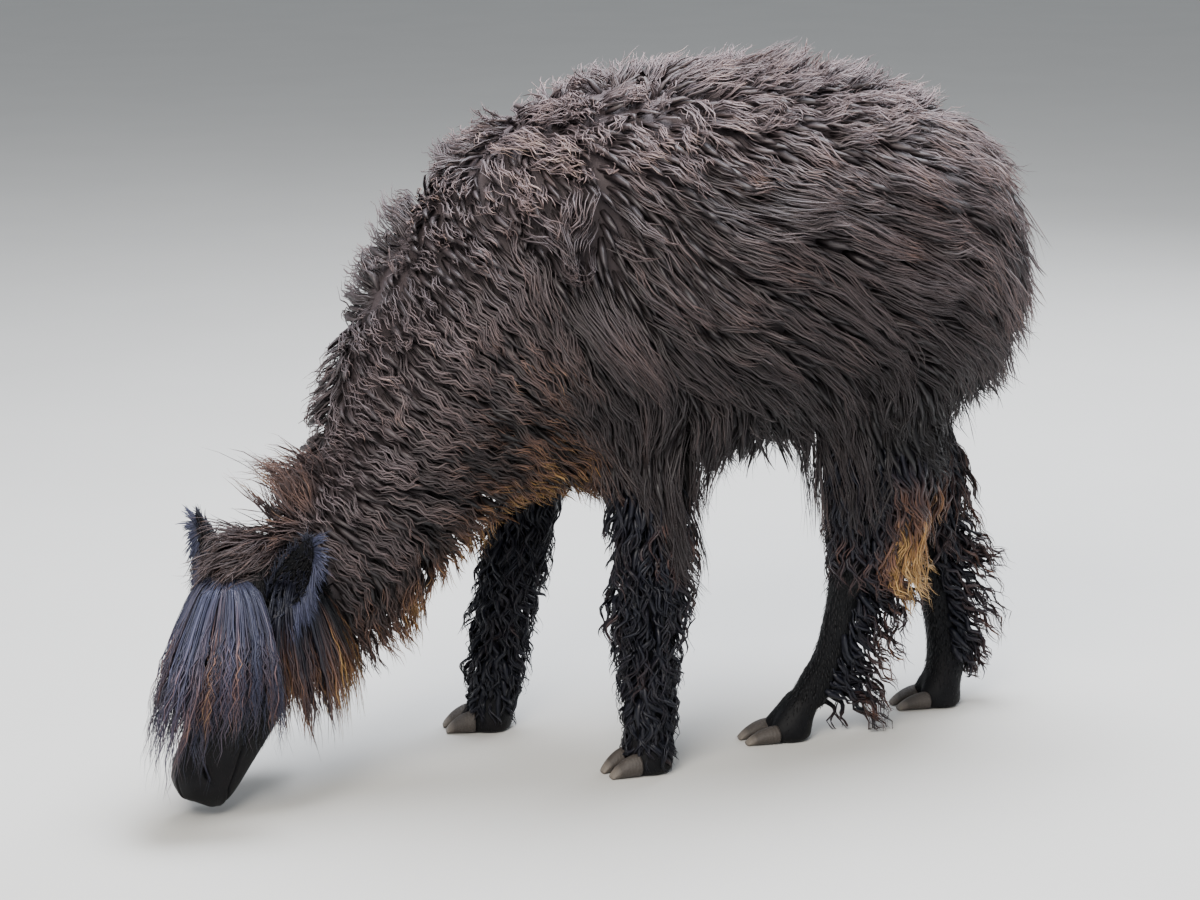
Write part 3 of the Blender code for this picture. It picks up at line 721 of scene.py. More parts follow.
def triangles_of(mesh):
    mesh.calc_loop_triangles()
    return read_all(mesh.loop_triangles, "vertices", np.int64, 3)


TRIALS = 2.4  # spots tried for each root that there is room for
CLOSEST = 0.78  # how near two roots may stand, as a share of their spacing


def plant(points, triangles, normals, spacing, seed):
    """Roots spread evenly over a surface. spacing gives the distance between them at each place (0: none)."""
    draw = np.random.default_rng(seed)
    a, b, c = (points[triangles[:, k]] for k in range(3))
    middle, area = (a + b + c) / 3, np.linalg.norm(np.cross(b - a, c - a), axis=1) / 2
    apart = spacing(middle, unit(normals[triangles].mean(axis=1)))
    wanted = np.where(apart > 0, TRIALS * area / np.maximum(apart, 1e-4) ** 2, 0)
    count = np.floor(wanted + draw.uniform(size=len(wanted))).astype(int)
    face = np.repeat(np.arange(len(triangles)), count)
    u, v = draw.uniform(size=(2, len(face)))
    over = u + v > 1
    u[over], v[over] = 1 - u[over], 1 - v[over]
    spots = a[face] + (b - a)[face] * u[:, None] + (c - a)[face] * v[:, None]
    order = draw.permutation(len(face))
    cell = float(apart[apart > 0].max())
    grid, kept = {}, []
    keys = np.floor(spots / cell).astype(int).tolist()
    places, gaps = spots.tolist(), (apart[face] * CLOSEST).tolist()
    near = [(i, j, k) for i in (-1, 0, 1) for j in (-1, 0, 1) for k in (-1, 0, 1)]
    for i in order.tolist():
        x, y, z = places[i]
        kx, ky, kz = keys[i]
        least = gaps[i] ** 2
        if not any(
            (px - x) ** 2 + (py - y) ** 2 + (pz - z) ** 2 < least
            for dx, dy, dz in near
            for px, py, pz in grid.get((kx + dx, ky + dy, kz + dz), ())
        ):
            grid.setdefault((kx, ky, kz), []).append((x, y, z))
            kept.append(i)
    kept = np.sort(np.array(kept))
    face = face[kept]
    return spots[kept], unit(normals[triangles[face]].mean(axis=1))


def along_path(paths, at):
    """Points at places from 0 to 1 along paths. at is (paths, places), and past 1 goes straight on."""
    steps = paths.shape[1] - 1
    place = np.maximum(at * steps, 0)
    low = np.minimum(place.astype(int), steps - 1)
    share = (place - low)[..., None]
    rows = np.arange(len(paths))[:, None]
    return paths[rows, low] * (1 - share) + paths[rows, low + 1] * share


LEAST_ROOM = 0.003  # between the skin and the outer surface


def grow(roots, ups, length, top, hold, comb, trees, steps, past=0.006):
    """The middle line of each lock. It leaves the skin at its root, follows the comb's direction without
    entering the skin, and climbs to the share top of the room between skin and outer surface. hold is how
    firmly it is kept at that height, from 0 where it hangs free, and past how far it may hang beyond."""
    skin_tree, outer_tree = trees
    here, up = roots.copy(), ups.copy()
    paths, uplines = [here], [up]
    alive = np.ones(len(roots), bool)
    travelled = np.zeros(len(roots))
    for k in range(steps):
        share = (k + 1) / steps
        way = comb(here, up)
        inward = np.minimum((way * up).sum(1), 0)
        way = unit(way - up * inward[:, None])
        trial = here + way * (length / steps)[:, None]
        _, normal, height = nearest(skin_tree, trial)
        _, _, beyond = nearest(outer_tree, trial)
        room = np.maximum(height - beyond, LEAST_ROOM)
        want = top * (1 - (1 - share) ** 1.7) * room
        lift = want - height
        lift = np.where(lift < 0, lift * hold, lift)
        trial = trial + normal * lift[:, None]
        beyond = beyond + lift
        alive &= beyond < past
        here = np.where(alive[:, None], trial, here)
        up = np.where(alive[:, None], unit(normal), up)
        travelled += alive
        paths.append(here)
        uplines.append(up)
    paths, uplines = np.stack(paths, axis=1), np.stack(uplines, axis=1)
    reach = np.maximum(travelled, 1.0) / steps
    at = np.linspace(0, 1, steps + 1)[None, :] * reach[:, None]
    return along_path(paths, at), unit(along_path(uplines, at))


AT_ONCE = 2000  # rows of distances held in memory


def leader_of(roots, centres):
    """For each root, the nearest one among the centres."""
    leader = np.empty(len(roots), int)
    for low in range(0, len(roots), AT_ONCE):
        apart = np.linalg.norm(roots[low : low + AT_ONCE, None] - roots[None, centres], axis=2)
        leader[low : low + AT_ONCE] = centres[apart.argmin(axis=1)]
    return leader


def gather(paths, leader, pull):
    """Draws locks towards their leader's tip, which leaves partings between the groups."""
    share = np.linspace(0, 1, paths.shape[1])[None, :, None] ** 1.4
    return paths + (paths[leader] - paths) * share * np.asarray(pull).reshape(-1, 1, 1)


def run_along(lines):
    """How far along its line each point is."""
    size = np.linalg.norm(np.diff(lines, axis=1), axis=2)
    return np.concatenate([np.zeros((len(lines), 1)), np.cumsum(size, axis=1)], axis=1)


def strand_frame(lines, normal):
    """At each point of each line, the directions across it: level with the skin, and off the skin."""
    tangent = unit(np.gradient(lines, axis=1))
    side = unit(np.cross(tangent, normal) + 1e-6)
    return side, np.cross(side, tangent)


def fray(paths, ups, count, look, seed):
    """Splits each lock into strands: a broad one down its middle and fine ones round it. look holds, for each
    lock: radius of the lock, tip (how wide its tip still is), amount and pitch of its waves, coil (0 flat
    waves, 1 ringlets), late (how far down the waves start), stray, and the widths core and fine."""
    draw = np.random.default_rng(seed)
    locks, steps = paths.shape[0], paths.shape[1] - 1
    rows = np.repeat(np.arange(locks), count)
    share = np.linspace(0, 1, steps + 1)
    cut = draw.uniform(0.70, 1.10, len(rows))
    cut[::count] = draw.uniform(0.86, 1.0, locks)
    at = share[None, :] * cut[:, None]
    lines, normal = along_path(paths[rows], at), unit(along_path(ups[rows], np.minimum(at, 1)))
    side, lift = strand_frame(lines, normal)
    turn, reach = draw.uniform(0, math.tau, len(rows)), np.sqrt(draw.uniform(0.05, 1, len(rows)))
    reach[::count] = 0
    radius = look["radius"][rows] * reach
    narrow = look["tip"][rows][:, None] + (1 - look["tip"][rows][:, None]) * (1 - share[None, :]) ** 0.8
    lines = lines + side * (radius * np.cos(turn))[:, None, None] * narrow[..., None]
    lines = lines + lift * (0.45 * radius * np.sin(turn))[:, None, None] * narrow[..., None]
    run = run_along(lines)
    phase = look.get("phase", draw.uniform(0, math.tau, locks))[rows] + draw.normal(0, 0.25, len(rows))
    wave = math.tau * run / look["pitch"][rows][:, None] + phase[:, None]
    late = look["late"][rows][:, None]
    grown = look["wave"][rows][:, None] * smooth_step(late, late + 0.35, share[None, :])
    grown = grown * draw.uniform(0.7, 1.3, len(rows))[:, None]
    hand = np.where(draw.uniform(size=locks) < 0.5, 1, -1)[rows][:, None]
    coil = look["coil"][rows][:, None]
    lines = lines + side * (grown * np.sin(wave))[..., None]
    lines = lines + lift * (grown * (0.35 + 0.65 * coil) * np.cos(wave) * hand)[..., None]
    stray = draw.normal(size=(len(rows), 1, 3))
    lines = lines + stray * (look["stray"][rows][:, None] * share[None, :] ** 2)[..., None]
    width = look["fine"][rows] * draw.uniform(0.7, 1.35, len(rows))
    width[::count] = look["core"][rows[::count]] * draw.uniform(0.8, 1.2, locks)
    return lines, normal, rows, width, draw


TURN_REACH = 0.42  # a strand's colour turns within this share of its length, to each side


def strand_mesh(name, lines, normal, width, values, root_map, draw):
    """One mesh of closed strands. Each is flat with three sides, and narrows to a point. values holds, for
    each attribute, its number at the root and at the tip, and how far down it turns from one to the other."""
    count, steps = lines.shape[0], lines.shape[1] - 1
    share = np.linspace(0, 1, steps + 1)
    side, lift = strand_frame(lines, normal)
    roll = draw.normal(0, 0.45, count)[:, None, None]
    side, lift = side * np.cos(roll) + lift * np.sin(roll), lift * np.cos(roll) - side * np.sin(roll)
    shape = ((0.62 + 0.38 * smooth_step(0, 0.25, share)) * (1 - share**1.9) ** 0.85)[None, :, None]
    thick = np.minimum(width * 0.45, 0.0012 + width * 0.16)
    half, high = width[:, None, None] / 2 * shape, thick[:, None, None] * shape
    rings = np.stack([lines - side * half, lines + side * half, lines + lift * high], axis=2)
    per = 3 * steps + 1
    points = np.empty((count, per, 3), np.float32)
    points[:, : 3 * steps] = rings[:, :steps].reshape(count, 3 * steps, 3)
    points[:, 3 * steps] = lines[:, steps]
    start = 3 * np.repeat(np.arange(steps - 1), 3)
    j, n = np.tile((0, 1, 2), steps - 1), np.tile((1, 2, 0), steps - 1)
    quads = np.stack([start + j, start + n, start + 3 + n, start + 3 + j], axis=1)
    last, tip = 3 * (steps - 1), 3 * steps
    ends = np.array([(last, last + 1, tip), (last + 1, last + 2, tip), (last + 2, last, tip), (2, 1, 0)])
    offset = (np.arange(count) * per)[:, None]
    pattern = np.concatenate([quads.ravel(), ends.ravel()]).astype(int)
    corners = (offset + pattern[None, :]).ravel()
    sizes = np.array([4] * len(quads) + [3] * len(ends))
    starts_one = np.concatenate([[0], np.cumsum(sizes)[:-1]])
    starts = ((np.arange(count) * len(pattern))[:, None] + starts_one[None, :]).ravel()
    mesh = bpy.data.meshes.new(name)
    mesh.vertices.add(count * per)
    mesh.vertices.foreach_set("co", points.ravel())
    mesh.loops.add(len(corners))
    mesh.loops.foreach_set("vertex_index", corners.astype(np.int32))
    mesh.polygons.add(len(starts))
    mesh.polygons.foreach_set("loop_start", starts.astype(np.int32))
    mesh.update(calc_edges=True)
    mesh.shade_smooth()
    ring = np.concatenate([np.repeat(np.arange(steps), 3), [steps]])
    for key, (first, final, turn) in values.items():
        middle = turn[:, None]
        at_ring = smooth_step(middle - TURN_REACH, middle + TURN_REACH, share[ring][None, :])
        write_value(mesh, key, first[:, None] * (1 - at_ring) + final[:, None] * at_ring)
    column = np.concatenate([np.tile([0.0, 1.0, 0.5], steps), [0.5]])
    fibre = np.empty((count, per, 3))
    fibre[..., 0] = column[None, :] * width[:, None]
    fibre[..., 1] = run_along(lines)[:, ring]
    fibre[..., 2] = draw.uniform(0, 50, count)[:, None]
    write_value(mesh, "fibre", fibre, "FLOAT_VECTOR")
    patch = np.stack([column, share[ring]], axis=1)
    flat = root_map[:, None, :] + MAP_PATCH * patch[None, :, :]
    write_map(mesh, flat.reshape(-1, 2)[corners])
    return mesh


# ---------------------------------------------------------------- the lie of the coat


def ramp(value, low, high):
    return smooth_step(low, high, value)[:, None]


def comb_body(points, ups):
    """Backwards and down over the flanks, straight down at the hem, parted along the back and the crest of
    the neck, and across the neck from crest to throat."""
    along, angle = spine_places(points)
    right = np.clip(np.sin(angle) + 0.55 * swirl(points, 0.06, 6)[:, 1], -1, 1)
    none = np.zeros(len(points))
    sideways = np.stack([none, np.sign(right) * np.abs(right) ** 0.5, none], axis=1)
    x, _, z = points.T
    way = np.tile((0.82, 0.0, -0.46), (len(points), 1))
    way += (np.array((0.12, 0.0, -1.10)) - way) * ramp(z, 0.74, 0.50) * ramp(x, -0.20, -0.02)
    way += (np.array((0.42, 0.0, -0.85)) - way) * ramp(x, 0.44, 0.68)
    neck = ramp(along, 0.52, 0.66)
    way += (np.array((0.80, 0.0, -0.52)) - way) * neck
    shoulder = bell(x + 0.10, 0.14)[:, None] * ramp(z, 0.60, 0.80)
    way += (np.array((0.30, 0.0, -0.95)) - way) * shoulder
    top = ramp(np.abs(angle), 0.95, 0.25)
    nether = ramp(np.abs(angle), 1.5, 2.2) * ramp(along, 0.78, 0.92)
    way += (np.array((0.22, 0.0, -0.90)) - way) * nether
    way += sideways * (0.10 + 0.28 * top + 0.30 * neck * ramp(np.abs(angle), 2.3, 1.2))
    calm = 1 - neck
    broad, fine = 0.34 + 0.12 * top * calm, 0.18 + 0.34 * top * calm
    way += swirl(points, 0.11, 3) * broad + swirl(points, 0.035, 4) * fine
    return unit(way)


def comb_limb(kind):
    """Down the leg, with the wool behind a hind cannon swinging out backwards."""
    hind = kind.startswith("hind")

    def comb(points, ups):
        way = np.tile(DOWN, (len(points), 1)) + ups * 0.10
        behind = ramp(points[:, 2], 0.36, 0.24) * np.maximum(ups[:, :1], 0) * (1.25 if hind else 0.1)
        way = way + behind * np.array((1.0, 0.0, 0.0))
        return unit(way + swirl(points, 0.060, 5) * 0.24)

    return comb


def comb_of(kind):
    return comb_body if kind == "body" else comb_limb(kind)


# ---------------------------------------------------------------- how the coat looks from place to place


def mixed(start, *parts):
    """A value for each root: the first number, then moved towards each following number by its weight."""
    total = start
    for value, weight in parts:
        total = total + (value - total) * weight
    return total


# How the locks of each kind of hair are split into strands: see fray.
LOCK_KEYS = "radius tip wave pitch coil late stray core fine".split()
LOCKS = {
    "leg": (0.0062, 0.40, 0.0074, 0.048, 0.45, -0.10, 0.0030, 0.0088, 0.0048),
    "forelock": (0.0068, 0.55, 0.0052, 0.052, 0.30, 0.35, 0.0055, 0.0050, 0.0023),
    "cheek": (0.0085, 0.50, 0.0034, 0.045, 0.30, 0.40, 0.0050, 0.0066, 0.0027),
    "nape": (0.0080, 0.55, 0.0022, 0.055, 0.40, 0.20, 0.0120, 0.0044, 0.0024),
    "ear": (0.0036, 0.80, 0.0006, 0.050, 0.20, 0.20, 0.0040, 0.0034, 0.0020),
}


def even_look(kind, count):
    return {key: np.full(count, value) for key, value in zip(LOCK_KEYS, LOCKS[kind])}


CRIMP = 0.041  # one wave of the crimp of the neck
CHEST_TUFT = (-0.125, 0.430, 0.075)  # where its golden hair is, lengthwise and in height, and its radius
GOLD_LOCK = (0.488, 0.440, 0.080)  # the same for the golden lock behind the left thigh


def body_look(roots):
    """Length, lock shape, colour and firmness of the fleece at each root on the trunk and neck."""
    along, angle = spine_places(roots)
    turn = np.abs(angle)
    x, _, z = roots.T
    none = np.zeros(len(roots))
    neck = smooth_step(0.52, 0.66, along)
    crown = smooth_step(0.90, 1.0, along)
    back = smooth_step(0.95, 0.35, turn) * (1 - neck)
    hem = smooth_step(0.66, 0.54, z) * (1 - neck)
    low = smooth_step(0.86, 0.62, z) * (1 - neck)
    under = smooth_step(2.2, 2.7, turn)
    rump = smooth_step(0.46, 0.64, x)
    thigh = smooth_step(0.68, 0.57, z) * smooth_step(0.35, 0.43, x)
    crest = smooth_step(0.7, 0.3, turn) * neck
    throat = smooth_step(1.9, 2.5, turn) * neck
    nether = smooth_step(1.7, 2.3, turn) * smooth_step(0.80, 0.92, along)
    length = mixed(
        0.125, (0.185, hem), (0.058, back), (0.120, rump), (0.100, thigh), (0.088, neck), (0.062, crest),
        (0.070, throat), (0.090, crown), (0.100, nether),
    )
    look = {
        "past": mixed(0.006, (0.024, hem), (0.045, nether)),
        "radius": mixed(
            0.0150, (0.012, back), (0.0115, neck), (0.013, hem), (0.0085, thigh), (0.0135, crest)
        ),
        "tip": mixed(0.42, (0.75, back), (0.40, neck), (0.28, hem), (0.80, crest)),
        "wave": mixed(
            0.0026, (0.0034, back), (0.0044, neck), (0.0026, hem), (0.0066, thigh), (0.0038, throat),
            (0.0030, crest),
        ),
        "pitch": mixed(0.080, (0.034, back), (CRIMP, neck), (0.090, hem), (0.050, thigh)),
        "coil": mixed(0.20, (0.35, back), (0.25, neck), (0.6, thigh)),
        "late": none,
        "pull": mixed(0.56, (0.35, crest), (0.10, nether), (0.30, throat)),
        "stray": mixed(0.0070, (0.008, back), (0.0050, neck), (0.0070, crest), (0.010, hem), (0.013, rump)),
        "core": mixed(0.0060, (0.0056, back), (0.0054, neck), (0.0048, crest)),
        "fine": mixed(0.0024, (0.0025, back), (0.0027, neck), (0.0023, crest)),
    }
    # The crimp of the neck runs on from lock to lock, in rows across their lie.
    look["phase"] = math.tau * (x * 0.84 - z * 0.54) / CRIMP + 5.0 * swirl(roots, 0.10, 15)[:, 0]
    tuft_x, tuft_z, radius = CHEST_TUFT
    chest = 0.8 * bell(np.hypot(x - tuft_x, z - tuft_z), radius) * smooth_step(1.5, 2.4, turn)
    gold = np.clip(throat * smooth_step(1.9, 2.7, turn) * 0.95 + chest, 0, 1)
    warm = smooth_step(1.1, 1.9, turn) * neck
    upper = smooth_step(1.3, 0.6, turn) * neck
    haunch = rump * (1 - thigh)
    # Roots are dark and tips paler: partly the hair's own colour and partly painted shade deep in the coat.
    # The mix towards the faded colour greys the back and haunch, partly as sun-fading and partly as painted
    # sheen from the light above, and greys the top of the neck (upper) as painted sheen.
    tone = {
        "root": mixed(0.035, (0.23, back), (0.07, neck), (0.0, low), (0.02, thigh), (0.26, gold)),
        "tip": mixed(
            0.47, (0.64, back), (0.53, neck), (0.60, warm), (0.20, low * (1 - gold)), (0.18, thigh),
            (0.52, haunch), (0.80, gold), (0.50, crown),
        ),
        "fade_sheen_mix": mixed(
            0.38, (0.80, back), (0.55, haunch), (0.40, neck), (0.66, upper), (0.08, warm), (0.14, low),
            (0.04, thigh), (0.0, gold), (0.16, crown),
        ),
        "turn": mixed(0.62, (0.52, back), (0.7, low)),
    }
    return length, look, tone, mixed(0.85, (0.25, hem), (0.15, under), (0.5, throat), (0.0, nether))


def limb_look(kind, roots, ups):
    """The same for the ringlets down a leg: black, with brown tips here and there."""
    z, none = roots[:, 2], np.zeros(len(roots))
    behind = np.maximum(ups[:, 0], 0)
    swing, rear, browned = (behind, behind, 0.78) if kind.startswith("hind") else (none, behind * 0.2, 0.55)
    high = smooth_step(0.36, 0.46, z)
    lock_x, lock_z, radius = GOLD_LOCK
    gold = bell(np.hypot(roots[:, 0] - lock_x, z - lock_z), radius) if kind == "hind_left" else none
    length = mixed(0.095, (0.110, high), (0.195, rear), (0.225, gold))
    look = even_look("leg", len(roots))
    look["wave"] = mixed(look["wave"], (0.0060, high))
    look["pitch"] = mixed(look["pitch"], (0.058, high))
    look["past"] = mixed(0.006, (0.035, swing))
    # How brown the tips are in patches, and on the rear of the leg.
    patches, back = {
        "fore_left": (1.0, 1.5 * smooth_step(0.30, 0.42, z)), "fore_right": (0.2, 0.0),
        "hind_left": (0.6, 1.0), "hind_right": (1.0, 1.0),
    }[kind]
    patches = patches * smooth_step(0.35, 1.0, swirl(roots, 0.10, 8)[:, 0] * 0.5 + 0.5)
    warm = np.maximum(patches, back * np.clip(ups[:, 0] + 0.5, 0, 1))
    # The slight mix towards the cool colour paints a faint sky reflection on the black wool.
    tone = {
        "root": mixed(0.0, (0.02, high), (0.10, gold)),
        "tip": mixed(0.05, (0.10, high), (0.56, np.clip(warm, 0, 1.3) * browned), (0.92, gold)),
        "fade_sheen_mix": none + 0.04,
        "turn": mixed(0.66, (0.42, np.clip(warm, 0, 1)), (0.40, gold)),
    }
    return length, look, tone, mixed(0.55, (0.10, swing))


def look_of(kind, roots, ups):
    return body_look(roots) if kind == "body" else limb_look(kind, roots, ups)


def skin_tones(points, normals, part):
    """The coat's colours for the skin: the colour of the roots that stand on each place, and their mix
    towards the faded colour, partly painted shade and sheen as on the coat.
    """
    _, _, tone, _ = body_look(points)
    value, fade_sheen_mix = tone["root"] * 0.75, tone["fade_sheen_mix"]
    for number, kind in enumerate(LEGS, 1):
        here = part == number
        _, _, leg, _ = limb_look(kind, points[here], normals[here])
        value[here], fade_sheen_mix[here] = leg["root"] * 0.8, 0.0
    bare = part >= PARTS.index("head")
    value[bare], fade_sheen_mix[bare] = 0.03, 0.0
    return value, fade_sheen_mix


# ---------------------------------------------------------------- coat pieces


LOCK_TINT = 0.055  # how much the tone varies from lock to lock


def save_strands(name, strands, tone, root_map, keep=None, vary=0.045):
    """The strands of the locks that keep accepts, as one object with their colours, which vary by strand."""
    lines, normal, rows, width, draw = strands
    chosen = np.arange(len(rows)) if keep is None else np.flatnonzero(keep[rows])
    lock = rows[chosen]
    tint = draw.normal(0, 1, len(root_map))[lock] * LOCK_TINT + draw.normal(0, vary, len(chosen))
    root, tip, turn = (tone[key][lock] for key in ("root", "tip", "turn"))
    fade_sheen_mix, fade_sheen_mix_tip = tone["fade_sheen_mix"][lock], tone.get("fade_sheen_mix_tip", tone["fade_sheen_mix"])[lock]
    values = {"tone": (root + tint * 0.6, tip + tint, turn), "fade_sheen_mix": (fade_sheen_mix, fade_sheen_mix_tip, turn)}
    mesh = strand_mesh(name, lines[chosen], normal[chosen], width[chosen], values, root_map[lock], draw)
    return new_object(name, mesh)


def map_of(roots, name):
    """Where the roots of one part are on the unwrap."""
    return unwrap(roots, np.full(len(roots), PARTS.index(name)))


def tree_of(mesh):
    return BVHTree.FromPolygons(points_of(mesh).tolist(), triangles_of(mesh).tolist())


def outer_surface(voxel=0.012):
    """The surface of all the solids of the body fused together, which the coat fills out to."""
    shell = bmesh.new()
    for name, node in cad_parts.items():
        if not (name.startswith(("eye_", "ear_")) or "nail" in name):
            shell.from_mesh(node.data)
    bmesh.ops.remove_doubles(shell, verts=shell.verts, dist=1e-5)
    outer = remeshed(new_object("outer", mesh_from(shell, "outer")), voxel)
    relax(outer.data, 2, 0.5)
    return outer


# For each piece: its parts, the lengths of its locks, how much of the room they fill, the steps in a lock,
# how much paler its tips are than its roots, and how much of the mix towards the faded colour (sun-fading and
# painted sheen) reaches it.
UNDERCOAT = {
    "undercoat_body": (("body",), (0.045, 0.065), (0.35, 0.75), 3, 0.03, 0.5),
    "undercoat_legs": (LEGS, (0.035, 0.055), (0.40, 0.80), 4, 0.04, 1.0),
}
SOLE_ROOM = 0.010  # the undercoat ends this far above the floor


def woolly(middle, normal, part):
    """Where the legs carry wool: not on the feet, nor on the fronts of the hind cannons."""
    z, hind = middle[:, 2], part >= PARTS.index("hind_left")
    return (z > np.where(hind, 0.082, 0.058)) & (~hind | (z > 0.345) | (normal[:, 0] > 0.15))


def grow_undercoat(surface, trees):
    """Short broad locks close to the skin, so that no skin shows between the long ones."""

    def spacing(middle, normal):
        part = part_of(middle)
        leg = (part > 0) & (part <= len(LEGS)) & woolly(middle, normal, part)
        return np.where(part == 0, 0.0200, np.where(leg, 0.0150, 0))

    roots, ups = plant(*surface, spacing, 31)
    part = part_of(roots)
    draw = np.random.default_rng(32)
    made = []
    for name, (kinds, lengths, tops, steps, paler, faded_and_sheen) in UNDERCOAT.items():
        grown = []
        for kind in kinds:
            here = part == PARTS.index(kind)
            at, up = roots[here], ups[here]
            tone = look_of(kind, at, up)[2]
            length, top = draw.uniform(*lengths, len(at)), draw.uniform(*tops, len(at))
            lines, uplines = grow(at, up, length, top, np.full(len(at), 0.8), comb_of(kind), trees, steps)
            grown.append((at, part[here], lines, uplines, tone["root"], tone["fade_sheen_mix"], tone["turn"]))
        at, number, lines, uplines, root, fade_sheen_mix, turn = (np.concatenate(column) for column in zip(*grown))
        lines[..., 2] = np.maximum(lines[..., 2], SOLE_ROOM)
        # The undercoat stays nearly as dark as the roots, which paints the shade deep in the coat between the
        # long locks.
        tone = {"root": root, "tip": root + paler, "fade_sheen_mix": fade_sheen_mix * faded_and_sheen, "turn": turn}
        strands = (lines, uplines, np.arange(len(at)), draw.uniform(0.011, 0.017, len(at)), draw)
        made.append(save_strands(name, strands, tone, unwrap(at, number)))
    return made


NECK_START = 0.56  # its share of the spine
# For each zone: distance between roots, strands in a lock, steps in a strand, seed, and the share of locks
# that draw their neighbours to them.
FLEECE = {"trunk": (0.0233, 9, 5, 11, 0.12), "neck": (0.0185, 6, 6, 12, 0.18)}
# The pieces of each zone, and the shares of the spine between which they lie.
FLEECE_CUTS = {
    "trunk": {"fleece_rump": (0, 0.20), "fleece_flank": (0.20, 0.38), "fleece_shoulder": (0.38, 2)},
    "neck": {"fleece_neck": (0, 2)},
}


def grow_fleece(zone, surface, trees):
    """The fleece of trunk or neck: where it is rooted, its locks and its strands."""
    apart, count, steps, seed, leading = FLEECE[zone]

    def spacing(middle, normal):
        along, angle = spine_places(middle)
        turn = np.abs(angle)
        if zone == "trunk":
            closer = 0.0030 * smooth_step(0.95, 0.35, turn)
        else:
            closer = 0.0040 * (smooth_step(1.7, 2.3, turn) * smooth_step(0.80, 0.92, along))
        here = (part_of(middle) == 0) & ((along < NECK_START) == (zone == "trunk"))
        return np.where(here, apart - closer, 0)

    roots, ups = plant(*surface, spacing, seed)
    locks = len(roots)
    length, look, tone, hold = body_look(roots)
    draw = np.random.default_rng(seed + 100)
    leader = leader_of(roots, np.flatnonzero(draw.uniform(size=locks) < leading))
    length = length * draw.uniform(0.75, 1.25, locks)[leader] * draw.uniform(0.88, 1.12, locks)
    top = 1 - 0.50 * (draw.uniform(0, 1, locks) ** 1.4)[leader] * draw.uniform(0.4, 1.2, locks)
    paths, uplines = grow(roots, ups, length, top, hold, comb_body, trees, steps, look["past"])
    # Locks are drawn together in large loose groups and small close ones, and the large ones stand unevenly.
    large = leader_of(roots, np.flatnonzero(draw.uniform(size=locks) < 0.030))
    paths = gather(paths, large, np.full(locks, 0.16))
    paths = gather(paths, leader, np.where(draw.uniform(size=locks) < 0.85, look["pull"], 0.05))
    raised = np.linspace(0, 1, steps + 1) * draw.normal(0, 0.008, locks)[large][:, None]
    paths = paths + uplines * raised[..., None]
    tone["tip"] = tone["tip"] + draw.normal(0, 0.06, locks)[leader]
    strands = fray(paths, uplines, count, look, seed + 200)
    along, _ = spine_places(roots)
    # The parting between left and right follows the neck to its side.
    left = roots[:, 1] < np.interp(roots[:, 0], [-0.5, -0.1], [-0.06, 0.0])
    made = []
    for name, (low, high) in FLEECE_CUTS[zone].items():
        there = (along >= low) & (along < high)
        for side, chosen in (("left", there & left), ("right", there & ~left)):
            made.append(save_strands(f"{name}_{side}", strands, tone, map_of(roots, "body"), chosen))
    return made


LOCK_ROOM, STRAND_ROOM = 0.006, 0.003  # the same for the middles of the ringlets and for their strands


def grow_limb(kind, surface, trees):
    """The ringlets of one leg."""
    number = PARTS.index(kind)
    seed = 30 + 10 * number

    def spacing(middle, normal):
        part = part_of(middle)
        return np.where((part == number) & woolly(middle, normal, part), 0.0142, 0)

    roots, ups = plant(*surface, spacing, seed)
    locks = len(roots)
    length, look, tone, hold = limb_look(kind, roots, ups)
    draw = np.random.default_rng(seed + 1)
    leader = leader_of(roots, np.flatnonzero(draw.uniform(size=locks) < 0.30))
    length = length * draw.uniform(0.7, 1.3, locks)[leader] * draw.uniform(0.9, 1.1, locks)
    top = 1 - 0.55 * (draw.uniform(0, 1, locks) ** 1.6)[leader]
    paths, uplines = grow(roots, ups, length, top, hold, comb_limb(kind), trees, 12, look["past"])
    paths = gather(paths, leader, np.full(locks, 0.62))
    look["phase"] = draw.uniform(0, math.tau, locks)[leader] + draw.normal(0, 0.3, locks)
    tone["tip"] = tone["tip"] + draw.normal(0, 0.05, locks)[leader]
    paths[..., 2] = np.maximum(paths[..., 2], LOCK_ROOM)
    strands = fray(paths, uplines, 3, look, seed + 2)
    strands[0][..., 2] = np.maximum(strands[0][..., 2], STRAND_ROOM)
    return save_strands(f"wool_{kind}", strands, tone, map_of(roots, kind))


# ---------------------------------------------------------------- the hair of the head


def in_head(along, out, left):
    return np.array(POLL + HEAD_AXIS * along + FOREHEAD * out + LEFT_CHEEK * left)


# How the fringe, and the wool of the left cheek, widen on their way down: drop, push to the front, shift to
# the left, half width, front reach, rear reach. The first rows of the fringe rise over the crown.
FRINGE_SHAPE = (
    (0.000, -0.004, 0.000, 0.003, 0.003, 0.003),
    (-0.013, -0.001, 0.000, 0.013, 0.012, 0.010),
    (-0.014, 0.002, 0.001, 0.030, 0.027, 0.022),
    (0.000, 0.005, 0.003, 0.050, 0.044, 0.032),
    (0.022, 0.010, 0.007, 0.067, 0.057, 0.040),
    (0.048, 0.017, 0.012, 0.081, 0.070, 0.046),
    (0.100, 0.035, 0.024, 0.102, 0.090, 0.054),
    (0.140, 0.048, 0.034, 0.114, 0.104, 0.058),
    (0.185, 0.060, 0.042, 0.126, 0.118, 0.060),
    (0.240, 0.074, 0.048, 0.136, 0.127, 0.060),
    (0.300, 0.086, 0.050, 0.138, 0.128, 0.058),
)
CHEEK_SHAPE = (
    (-0.052, 0.014, 0.000, 0.010, 0.020, 0.020),
    (-0.020, 0.016, 0.012, 0.026, 0.062, 0.050),
    (0.050, 0.000, 0.015, 0.038, 0.092, 0.080),
    (0.110, -0.018, 0.012, 0.044, 0.100, 0.094),
    (0.170, -0.036, 0.006, 0.043, 0.104, 0.094),
    (0.245, -0.054, 0.000, 0.038, 0.098, 0.084),
)


